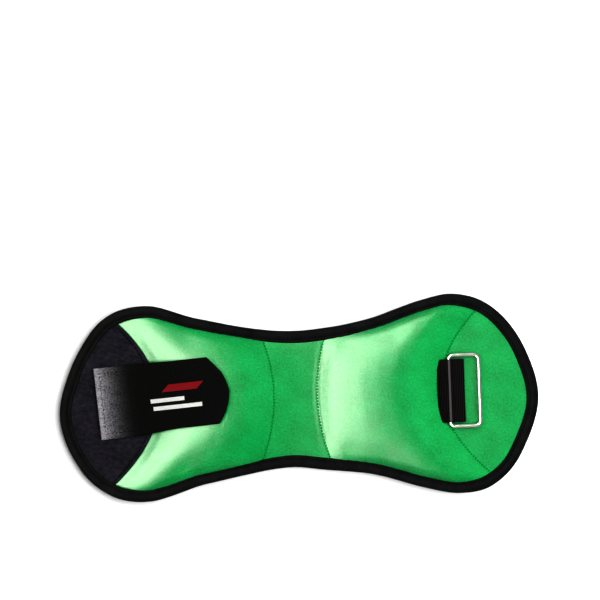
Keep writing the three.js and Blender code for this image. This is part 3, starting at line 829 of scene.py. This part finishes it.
neoprene = neoprene_material()
binding_tape = binding_material()
loop_pile = loop_material()
strap_weave = strap_material()
keeper_webbing = webbing_material()
hook_face = hook_material()
green_thread = thread_material("thread_green", (0.0015, 0.15, 0.04), (0.005, 0.26, 0.065))
black_thread = thread_material("thread_black", (0.002, 0.002, 0.0025), (0.01, 0.01, 0.011))
red_print = print_material("print_red", (0.22, 0.0, 0.008))
white_print = print_material("print_white", (0.62, 0.62, 0.6))
ring_plate = chrome_material()
bag_film = film_material()
iron_sand = shot_material()


# ---- pieces baked in place ----


def fold_piece(piece):
    """A piece of the cuff, with its transform baked into its points."""
    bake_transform(piece)


# ---- cuff body ----


CUFF_EDGE = 2.4  # the neoprene's two faces end this far in from the outline, inside the tape


def cuff_piece(index):
    """Both neoprene faces between two splits, closed at their edges."""
    first, last = (int(np.searchsorted(lines, at - 1e-6)) for at in SPLITS[index : index + 2])
    part = slice(first, last + 1)
    keep = depth_grid[part] > CUFF_EDGE
    x, y = x_grid[part][keep], row_grid[part][keep]
    top = points_at(*(values[part][keep] for values in (outer_x, outer_y, outer_z)))
    low = points_at(x, y, inner_z[part][keep])
    flat = points_at(x, y, 0)
    faces = two_skins(keep)[2]
    used = sorted({v for face in faces for v in face})
    renumber = {v: k for k, v in enumerate(used)}
    faces = [[renumber[v] for v in face] for face in faces]
    points = np.concatenate([top, low])[used]
    rest = np.concatenate([flat, flat])[used]
    piece = mesh_object(f"cuff_body_{index + 1}", points, faces, neoprene, rest, sharp=55)
    fold_piece(piece)
    return piece


REPLACED = (
    ("left_end_panel", "left_end_lining"),
    ("left_lobe_panel", "left_lobe_lining"),
    ("waist_panel", "waist_lining"),
    ("right_lobe_panel", "right_lobe_lining", "right_end_panel", "right_end_lining"),
)
for index, nodes in enumerate(REPLACED):
    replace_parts(cuff_piece(index), *nodes)


# ---- binding ----

# the folded tape's section, round from its lower lip: distance in from the outline, and height
BINDING_SECTION = np.array([
    (8.3, 1.0), (8.6, 0.55), (8.1, 0.15), (7.0, 0.12), (6.1, 0.35), (5.2, 0.1), (3.4, 0.0), (1.8, 0.25),
    (0.7, 1.0), (0.1, 2.1), (0.0, 3.2), (0.25, 4.4), (0.95, 5.4), (2.1, 6.05), (3.5, 6.25), (4.9, 6.0),
    (5.8, 5.45), (6.3, 5.15), (6.9, 5.4), (7.7, 5.6), (8.4, 5.4), (8.75, 4.95), (8.5, 4.5),
    (7.0, 4.55), (2.0, 4.5), (1.4, 3.0), (2.0, 1.1), (7.0, 1.0),
])
STITCH_INSET = 6.3
# over the loop patch the tape's upper side runs higher: by how much, from which x, over what reach
PATCH_RISE, PATCH_RISE_X, PATCH_RISE_REACH = 1.1, -118, 14
PUCKER_PITCH = 6.1
SWELL, PUCKER = 0.22, 0.08  # how much the tape's upper side swells and puckers


def binding_rings():
    """The tape's section at each point of the outline, and the same places in the flat tape."""
    count = len(OUTLINE)
    waver = ripple(count, 14, 3)
    swell = ripple(count, 9, 4)
    pucker = np.sin(np.arange(count) * OUTLINE_STEP * 2 * np.pi / PUCKER_PITCH)
    rise = PATCH_RISE * smooth((PATCH_RISE_X - OUTLINE[:, 0]) / PATCH_RISE_REACH)
    lift = edge_lift(line_through(OUTLINE[:, 0], OUTLINE[:, 1]))
    inward, up = BINDING_SECTION.T
    upper = smooth((up - 2.5) / 2)
    inner = smooth((inward - 3) / 4)
    inset = inward + 0.3 + (0.3 + 0.2 * inner) * waver[:, None]
    uneven = (rise + SWELL * swell)[:, None] + PUCKER * pucker[:, None] * inner
    place = OUTLINE[:, None] + inset[..., None] * OUTLINE_IN[:, None]
    rings = points_at(place[..., 0], place[..., 1], up + lift[:, None] + upper * uneven)
    along = np.arange(count)[:, None] * OUTLINE_STEP
    return rings, points_at(along, lengths_along(BINDING_SECTION), 0)


def outline_runs(index):
    """The stretches of outline points that belong to one of the cuff's four pieces."""
    ends = (-math.inf, *SPLITS[1:-1], math.inf)
    c = line_through(OUTLINE[:, 0], OUTLINE[:, 1])
    inside = (c >= ends[index]) & (c <= ends[index + 1])
    count = len(OUTLINE)
    runs = []
    for start in range(count):
        if inside[start] and not inside[start - 1]:
            end = start
            while inside[(end + 1) % count]:
                end += 1
            runs.append(np.arange(start, end + 2) % count)
    return runs


def binding_lengths():
    """Each length of the binding: the cuff piece that it is on, its label and its outline points."""
    for index in range(len(FOLDS)):
        for letter, run in zip("ab", outline_runs(index)):
            yield index, f"{index + 1}{letter}", run


rings, ring_cloth = binding_rings()
BINDING_NODES = {
    "1a": ("left_end_binding", "left_lobe_binding_upper", "left_lobe_binding_lower"),
    "2a": ("waist_binding_upper",),
    "2b": ("waist_binding_lower",),
    "3a": ("right_lobe_binding_upper",),
    "3b": ("right_lobe_binding_lower",),
    "4a": ("right_end_binding",),
}
for index, label, run in binding_lengths():
    piece = tube(f"binding_{label}", rings[run], binding_tape, ring_cloth[run])
    fold_piece(piece)
    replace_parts(piece, *BINDING_NODES[label])


# ---- stitches ----


def along_path(points, pitch):
    """Places a pitch apart along an open line, with the direction at each."""
    near = 0.4
    points = np.asarray(points, float)
    lengths = lengths_along(points)
    at = np.arange(pitch / 2, lengths[-1], pitch)
    places, ahead, behind = (
        np.stack([np.interp(at + shift, lengths, points[:, k]) for k in range(3)], axis=1)
        for shift in (0, near, -near)
    )
    direction = ahead - behind
    direction /= np.linalg.norm(direction, axis=1)[:, None] + 1e-12
    return places, direction


def stitch_row(name, points, material, pitch=3.0, thickness=0.55, up=1.0):
    """Short raised stitches along a line, each diving into the cloth at both ends."""
    places, direction = along_path(points, pitch)
    sides, steps = 6, 6
    half = 0.42 * pitch  # half a stitch's length, which leaves a gap before the next
    corners, faces = [], []
    for place, along in zip(places, direction):
        across = np.cross((0, 0, up), along)
        across /= np.linalg.norm(across) + 1e-12
        out = np.cross(along, across)
        faces += tube_faces(steps, sides, start=len(corners))
        for t in np.linspace(-1, 1, steps):
            # thinner and lower towards both ends
            radius = 0.5 * thickness * (1 - 0.75 * t**6)
            centre = place + along * (half * t) + out * (0.12 - 0.4 * t**4) * thickness
            for side in range(sides):
                angle = 2 * math.pi * side / sides
                corners.append(centre + radius * (math.cos(angle) * across + math.sin(angle) * out))
    return mesh_object(name, np.array(corners), faces, material)


def section_column(on_top):
    """The point of the tape's section that its stitches follow, on its upper or its under side."""
    away = np.abs(BINDING_SECTION[:, 0] - STITCH_INSET)
    is_top = BINDING_SECTION[:, 1] > 3
    return int(np.argmin(away + 10 * (is_top != on_top)))


def binding_stitches():
    """The rows along both sides of the tape."""
    sides = (("upper", section_column(True), 1.0), ("under", section_column(False), -1.0))
    for index, label, run in binding_lengths():
        for side, column, up in sides:
            name = f"binding_stitches_{label}_{side}"
            piece = stitch_row(name, rings[run, column], black_thread, pitch=3.2, up=up)
            fold_piece(piece)


binding_stitches()


def visible_span(which):
    """Between which places along y a seam shows, from binding to binding."""
    ys = np.arange(-HALF_ROWS, HALF_ROWS, 0.5)
    shown = ys[inside_by(seam_x(which, ys), ys) > BINDING_WIDTH - 1.5]
    return shown.min(), shown.max()


def seam_on_top(which, ys):
    """A seam's line, sunk a little into the outer face."""
    x = seam_x(which, ys)
    return points_at(x, ys, outer_at(x, ys) - 0.1)


def seam_below(which, ys):
    """A seam's line, just under the inner face."""
    i = int(np.argmin(np.abs(lines - SEAM_APEX[which])))
    j = np.clip(np.round((ys - rows[0]) / FINE).astype(int), 0, len(rows) - 1)
    return points_at(seam_x(which, ys), ys, inner_z[i, j] - 0.15)


def seam_stitches(label, which, nodes):
    """A seam's stitches on both faces. The patch's row on the outer face comes with the patch."""
    ys = np.arange(*visible_span(which), 1.0)
    if which != PATCH:
        line = seam_on_top(which, ys)
        piece = stitch_row(f"{label}_stitches", line, green_thread, pitch=2.2, thickness=1.4)
        fold_piece(piece)
        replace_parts(piece, *nodes)
    line = seam_below(which, ys)
    under = f"{label}_stitches_under"
    piece = stitch_row(under, line, green_thread, pitch=2.6, thickness=0.6, up=-1.0)
    fold_piece(piece)


seam_stitches("patch_seam", PATCH, ())
seam_stitches("left_seam", LEFT, ("left_seam_stitching",))
seam_stitches("right_seam", RIGHT, ("right_seam_stitching",))
seam_stitches("ring_seam", RING_SEAM, ("ring_seam_stitching_upper", "ring_seam_stitching_lower"))


# ---- loop patch ----

PATCH_THICKNESS = 1.4
PATCH_TUCK = 6.4  # how far in from the outline the patch starts, under the tape
PATCH_OVERLAP = 1.2  # how far the patch runs on past its seam
PATCH_ROW_INSET = 3.2  # how far in from the patch's free edge it is stitched down
PATCH_ROUND = 1.1  # the free edge is rounded off over this much


def left_edge(inset, y):
    """The outline's left side, drawn in by inset, at each y."""
    drawn_in = OUTLINE + inset * OUTLINE_IN
    left = drawn_in[drawn_in[:, 0] < -95]
    middle = left[:, 1]
    order = np.argsort(middle)
    return np.interp(y, middle[order], left[order, 0])


def patch():
    """The brushed crescent on the left end, with the row of stitches along its free edge."""
    low, high = visible_span(PATCH)
    ys = np.linspace(low - 1.5, high + 1.5, 110)
    right = seam_x(PATCH, ys) + PATCH_OVERLAP
    left = np.minimum(left_edge(PATCH_TUCK, ys), right - 0.2)
    u = np.linspace(0, 1, 64)[:, None]
    x = mix(left[None], right[None], 1 - (1 - u) ** 1.15)
    y = np.broadcast_to(ys[None], x.shape)
    base = outer_at(x, y)
    to_edge = (right[None] - x) * seam_slant(PATCH, y)
    groove = np.exp(-((to_edge - PATCH_ROW_INSET) ** 2))
    t = np.clip(to_edge / PATCH_ROUND, 0, 1)
    edge = np.sqrt(t * (2 - t))
    pile = 0.1 * np.sin(x * 0.9 + 1.3 * np.sin(y * 0.23)) * np.sin(y * 0.8 + 1.1 * np.sin(x * 0.31))
    top_z = base + PATCH_THICKNESS * (0.25 + 0.75 * edge) - 0.55 * groove + pile
    # the patch lies over the seam's groove, rather than in it
    top_z = np.maximum(top_z, RIM_TOP + 1.6 * edge)
    bottom_z = np.minimum(base - 0.3, top_z - 0.4)
    top, bottom, rest = (points_at(x, y, z) for z in (top_z, bottom_z, 0))
    piece = slab("loop_patch_pile", top, bottom, loop_pile, rest, sharp=75)
    fold_piece(piece)
    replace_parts(piece, "loop_patch")

    shown = np.nonzero(left_edge(BINDING_WIDTH, ys) < right - 6)[0]
    line = right[shown] - PATCH_ROW_INSET
    height = [top_z[np.argmin(np.abs(x[:, k] - at)), k] + 0.1 for k, at in zip(shown, line)]
    row = stitch_row("patch_stitches", points_at(line, ys[shown], height), black_thread, pitch=3.0)
    fold_piece(row)
    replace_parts(row, "patch_stitching")


patch()


# ---- strap ----

# places along the strap are counted from its fold, and places across it from its middle
STRAP_ROOT, STRAP_END = -29.0, 68.2
STRAP_THICK = 2.0
STRAP_HALF = 26.3  # half its width at the root
TIP_UPPER = ((51.5, 55.5, 63.8, 66.6, STRAP_END), (28, 24.0, 13.6, 6.8, -0.6))
TIP_LOWER = ((55.5, 59.5, 64.0, 66.8, STRAP_END), (-26, -22.4, -15.4, -8.0, -0.6))
HOOK_THICK = 1.0
BASE_BOTTOM = node_box("strap_base")[0][2]


def strap_place(s, w):
    """The x and y of places along and across the strap."""
    x = STRAP_PIVOT[0] + s * STRAP_ALONG[0] - w * STRAP_ALONG[1]
    y = STRAP_PIVOT[1] + s * STRAP_ALONG[1] + w * STRAP_ALONG[0]
    return x, y


def strap_edges(s):
    """The strap's lower and upper edge at each s: it narrows, and its tip is cut off lopsidedly."""
    narrowed = smooth((s + 5) / 35)
    upper = np.minimum(mix(STRAP_HALF, 25.4, narrowed), np.interp(s, *TIP_UPPER))
    lower = np.maximum(-mix(STRAP_HALF, 23.6, narrowed), np.interp(s, *TIP_LOWER))
    return lower, upper


def taut_line(s, floor):
    """The heights of a line drawn tight over a floor, straight wherever the floor dips."""
    hull = []
    for k in range(len(s)):
        while len(hull) > 1:
            a, b = hull[-2], hull[-1]
            if (floor[b] - floor[a]) * (s[k] - s[a]) > (floor[k] - floor[a]) * (s[b] - s[a]):
                break
            hull.pop()
        hull.append(k)
    return np.interp(s, s[hull], floor[hull])


def taut_profile():
    """Heights of the strap's underside along it: flat where sewn, then taut over the pocket."""
    flat_to, clear_from, hook_gap, blur = 2.0, 3, 0.25, 6
    s = np.linspace(STRAP_ROOT, STRAP_END, 200)
    lower, upper = strap_edges(s)
    across = np.linspace(0, 1, 9)[:, None]
    x, y = strap_place(s[None], mix(lower[None], upper[None], across))
    over_cuff = outer_at(x, y).max(axis=0) + HOOK_THICK + hook_gap
    floor = np.where(s < clear_from, BASE_BOTTOM, np.maximum(over_cuff, BASE_BOTTOM))
    start = int(np.searchsorted(s, flat_to))
    height = np.full(len(s), BASE_BOTTOM)
    height[start:] = taut_line(s[start:], floor[start:])
    before = np.full(blur, height[0])
    beyond = height[-1] + (height[-1] - height[-2]) * np.arange(1, blur + 1)
    kernel = np.hanning(2 * blur + 1)
    padded = np.concatenate([before, height, beyond])
    return s, np.convolve(padded, kernel / kernel.sum(), mode="valid")


profile_s, profile_z = taut_profile()


def strap_bottom(s):
    return np.interp(s, profile_s, profile_z)


def on_strap(s, w, above):
    """Places along and across the strap, at a height above its underside."""
    return points_at(*strap_place(s, w), strap_bottom(s) + above)


def strap_layer(name, ss, lower, upper, low, high, material, rows_across, round_edge=0.0):
    """A layer on or under the strap: lower and upper are its edges at each of ss."""
    t = np.linspace(0, 1, rows_across)
    t = 0.5 - 0.5 * np.cos(np.pi * t) * (1 - 0.25 * np.sin(np.pi * t))
    s = np.broadcast_to(ss[:, None], (len(ss), rows_across))
    w = mix(lower[:, None], upper[:, None], t[None])
    from_side = np.minimum(w - lower[:, None], upper[:, None] - w)
    from_end = np.minimum(s - ss[0], ss[-1] - s) + 0.05
    drop = round_edge * (1 - np.clip(np.minimum(from_side, from_end) / 1.6, 0, 1)) ** 2
    top, bottom = on_strap(s, w, high - drop), on_strap(s, w, low + 0.5 * drop)
    return slab(name, top, bottom, material, points_at(s, w, 0), sharp=70)


def fold_strap(piece):
    """The strap, with its transform baked into its points."""
    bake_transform(piece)


def strap_band():
    """The strap itself, from its sewn root to its cut-off tip."""
    ss = np.concatenate([np.linspace(STRAP_ROOT, 50, 110), np.linspace(50.6, STRAP_END, 40)])
    lower, upper = strap_edges(ss)
    piece = strap_layer("strap", ss, lower, upper, 0, STRAP_THICK, strap_weave, 30, round_edge=0.5)
    fold_strap(piece)
    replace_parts(piece, "strap_base", "strap_run")


def strap_box():
    """The box of stitches that holds the strap's root."""
    inset, half = 4.0, 22
    corners = [(STRAP_ROOT + inset, -half), (-inset, -half), (-inset, half), (STRAP_ROOT + inset, half)]
    path = []
    for (s0, w0), (s1, w1) in zip(corners, corners[1:] + corners[:1]):
        for t in np.linspace(0, 1, 20, endpoint=False):
            path.append(on_strap(mix(s0, s1, t), mix(w0, w1, t), STRAP_THICK - 0.12))
    row = stitch_row("strap_box_stitches", path, black_thread, pitch=3.0, thickness=0.45)
    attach(row, "left_end")
    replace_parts(row, *[f"strap_stitching_{k}" for k in (1, 2, 3, 4)])


def hook_strip():
    """The hook tape under the strap's free end."""
    ss = np.linspace(27, 58, 40)
    half = np.full(len(ss), 20.5)
    piece = strap_layer("hook_strip", ss, -half, half, -HOOK_THICK, -0.02, hook_face, 24)
    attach(piece, "strap")
    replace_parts(piece, "hook_tape")


strap_band()
strap_box()
hook_strip()


def mark_bar(name, middle, size, lean, material):
    """A printed bar on the strap, leaning so that its ends are slanted."""
    ss = np.linspace(middle[0] - size[0] / 2, middle[0] + size[0] / 2, 30)
    t = np.linspace(-0.5, 0.5, 8)
    w = middle[1] + size[1] * t[None]
    s = ss[:, None] + lean * size[1] * t[None]
    top, bottom = (on_strap(s, w, STRAP_THICK + above) for above in (0.16, -0.3))
    piece = slab(name, top, bottom, material, points_at(s, w, 0))
    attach(piece, "strap")
    return piece


# each bar's name, middle, size, lean, material, slot and the nodes that it takes the place of
MARK_BARS = (
    ("mark_red", (34.5, 6.2), (26, 5.2), 1.1, red_print, "print_red", ["mark_red_bar"]),
    ("mark_white_1", (22.5, -2.2), (25, 3.0), 0.0, white_print, "print_white", ["mark_white_bar"]),
    ("mark_white_2", (29.5, -7.8), (36, 3.0), 0.0, white_print, "print_white", []),
)
for name, middle, size, lean, material, slot, nodes in MARK_BARS:
    bar = mark_bar(name, middle, size, lean, material)
    if nodes:
        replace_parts(bar, *nodes)


# ---- ring and keeper ----

WIRE = RING_HIGH[2] - RING_LOW[2]


def rounded_rectangle(low, high, radius, steps):
    """Points round a rectangle, steps of them at each rounded corner."""
    points = []
    centres = [
        (high[0] - radius, high[1] - radius, 0), (low[0] + radius, high[1] - radius, 1),
        (low[0] + radius, low[1] + radius, 2), (high[0] - radius, low[1] + radius, 3),
    ]
    for cx, cy, quarter in centres:
        for t in np.linspace(0, 1, steps):
            angle = (quarter + t) * math.pi / 2
            points.append((cx + radius * math.cos(angle), cy + radius * math.sin(angle)))
    return np.array(points)


def wire_ring():
    """The rectangular ring, bent from round wire."""
    radius, corner, step, sides = 1.4, 3.6, 0.8, 20
    shape = rounded_rectangle(RING_LOW[:2] + radius, RING_HIGH[:2] - radius, corner, 12)
    path = even_spacing(shape, step)
    angle = 2 * math.pi * np.arange(sides) / sides
    place = path[:, None] + radius * np.cos(angle)[:, None] * square_to_loop(path)[:, None]
    rings = points_at(place[..., 0], place[..., 1], RING_BAR[2] + radius * np.sin(angle))
    cloth = points_at(radius * angle, np.arange(len(path))[:, None] * step, 0)
    piece = tube("wire_ring", rings, ring_plate, cloth, closed=True)
    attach(piece, "ring")
    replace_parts(piece, "ring")


wire_ring()


def open_spline(shape, steps):
    """A uniform Catmull-Rom curve through the points, with steps points to a span."""
    points = []
    for i in range(len(shape) - 1):
        before, here = shape[max(0, i - 1)], shape[i]
        ahead, beyond = shape[i + 1], shape[min(len(shape) - 1, i + 2)]
        c2 = 2 * before - 5 * here + 4 * ahead - beyond
        c3 = 3 * here - before - 3 * ahead + beyond
        for t in np.linspace(0, 1, steps, endpoint=False):
            points.append(0.5 * (2 * here + (ahead - before) * t + c2 * t**2 + c3 * t**3))
    return np.array(points + [shape[-1]])


def keeper_line():
    """The webbing's line from the seam over the ring's bar, round and back under it, as (x, z)."""
    left, right = KEEPER_LOW[0], KEEPER_HIGH[0]
    bar = RING_BAR[0]
    over = RING_BAR[2] + WIRE / 2 + 0.6
    low = KEEPER_LOW[2] + 0.45
    shape = [
        (left, low + 1.05), (left + 2.0, low + 1.4), (left + 4.6, low + 2.4), (bar - 1.8, over - 0.6),
        (bar, over), (bar + 1.9, over - 0.55), (bar + 4.5, over - 1.5), (right - 3.0, over - 2.1),
        (right - 1.2, over - 2.5), (right - 0.45, over - 3.2), (right - 0.9, low + 0.25),
        (right - 2.6, low), (bar, low - 0.02), (left + 3, low), (left, low + 0.05),
    ]
    return open_spline(np.array(shape), 7)


def keeper():
    """A strip of webbing that leaves the seam, passes over the bar, turns back and returns under it."""
    path = keeper_line()
    lengths = lengths_along(path)
    along = np.gradient(path, axis=0)
    along /= np.linalg.norm(along, axis=1)[:, None]
    out = np.stack([-along[:, 1], along[:, 0]], axis=1)
    ys = np.linspace(KEEPER_LOW[1], KEEPER_HIGH[1], 34)
    edge = np.minimum(ys - ys[0], ys[-1] - ys)
    # half its thickness: fuller in the woven selvedges, thinner at the very edge
    thick = 0.42 + 0.1 * np.exp(-((edge - 0.8) ** 2) / 0.4) - 0.2 * np.exp(-((edge / 0.5) ** 2))
    half = thick[None, :, None] * out[:, None, :]
    top, bottom = (path[:, None, :] + sign * half for sign in (1, -1))
    top, bottom = (points_at(face[..., 0], ys, face[..., 1]) for face in (top, bottom))
    from_bar = lengths - lengths[np.argmax(path[:, 1])]
    rest = points_at(from_bar[:, None], ys, 0)
    piece = slab("keeper_loop", top, bottom, keeper_webbing, rest, sharp=60)
    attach(piece, "right_end")
    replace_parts(piece, "ring_keeper")


def keeper_stitches():
    """The row that holds the keeper's two ends."""
    x, z = KEEPER_LOW[0] + 1.6, KEEPER_LOW[2] + 2.25
    line = [(x, y, z) for y in np.arange(KEEPER_LOW[1] + 1.5, KEEPER_HIGH[1] - 1.5, 1.0)]
    row = stitch_row("keeper_stitches", line, black_thread, pitch=2.4, thickness=0.5)
    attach(row, "right_end")


keeper()
keeper_stitches()


# ---- inside the pockets ----

for side in ("left", "right"):
    filling = (("bag_base", bag_film), ("bag_top", bag_film), ("fill", iron_sand))
    for part, material in filling:
        materials = frame["nodes"][f"{side}_lobe_{part}"].data.materials
        materials.clear()
        materials.append(material)


# ---- floor, light and camera ----


def floor():
    """A wide pale sheet just under the cuff."""
    made = Shader("floor_paper", (0.86, 0.86, 0.86), 0.9)
    made.set(specular_ior_level=0.1)
    mesh = bpy.data.meshes.new("floor")
    half, drop = 4.0, -0.0003
    corners = [(-half, -half, drop), (half, -half, drop), (half, half, drop), (-half, half, drop)]
    mesh.from_pydata(corners, [], [(0, 1, 2, 3)])
    mesh.materials.append(made.material)
    plane = new_object("floor", mesh)


def area_light(name, place, target, size, power, color=(1, 1, 1)):
    """A flat lamp, its place and size in metres and its power in watts."""
    light = bpy.data.lights.new(name, "AREA")
    light.shape = "RECTANGLE"
    light.size, light.size_y = size
    light.energy = power
    light.color = color
    lamp = new_object(name, light)
    lamp.location = place
    lamp.rotation_euler = (Vector(target) - Vector(place)).to_track_quat("-Z", "Y").to_euler()
    return lamp


floor()
key = area_light("key", (0.7, 0.2, 1.1), (0.1, 0, 0), (1.6, 1.6), 26)
key.visible_glossy = False
glow = area_light("glow", (-1.5, 0.2, 2.25), (0, 0, 0), (6.5, 1.1), 420, (1, 0.98, 0.84))
glow.visible_diffuse = False


def studio_world():
    """A pale room, darker overhead, where the camera is."""
    world = bpy.data.worlds.new("studio")
    world.use_nodes = True
    tree = world.node_tree
    background = tree.nodes["Background"]
    direction = tree.nodes.new("ShaderNodeTexCoord").outputs["Generated"]
    toward = tree.nodes.new("ShaderNodeVectorMath")
    toward.operation = "DOT_PRODUCT"
    toward.inputs[1].default_value = (0, 0, 1)
    tree.links.new(direction, toward.inputs[0])
    spread = tree.nodes.new("ShaderNodeMapRange")
    for key, value in (("From Min", 0.0), ("From Max", 1.0), ("To Min", 0.65), ("To Max", 0.05)):
        spread.inputs[key].default_value = value
    tree.links.new(toward.outputs["Value"], spread.inputs["Value"])
    tree.links.new(spread.outputs["Result"], background.inputs["Strength"])
    background.inputs["Color"].default_value = (1, 1, 1, 1)
    bpy.context.scene.world = world


studio_world()
bpy.context.scene.view_settings.view_transform = "Standard"
bpy.context.scene.view_settings.look = "Very High Contrast"

# The camera looks straight down at a place by the cuff's far edge, so the cuff lies low in the view,
# and it is rolled a little, so the cuff lies turned.
VIEW_ROLL = math.radians(2.1)
VIEW_CENTRE = (3.4, 72.1)
VIEW_WIDTH = 438.6
VIEW_DISTANCE = 2.2  # metres
SENSOR = 36

camera_data = bpy.data.cameras.new("camera")
camera_data.sensor_width = SENSOR
camera_data.lens = SENSOR * VIEW_DISTANCE / (VIEW_WIDTH * MM)
camera_data.clip_end = 20
camera = new_object("camera", camera_data)
camera.location = (VIEW_CENTRE[0] * MM, VIEW_CENTRE[1] * MM, VIEW_DISTANCE)
camera.rotation_euler = (0, 0, -VIEW_ROLL)
bpy.context.scene.camera = camera
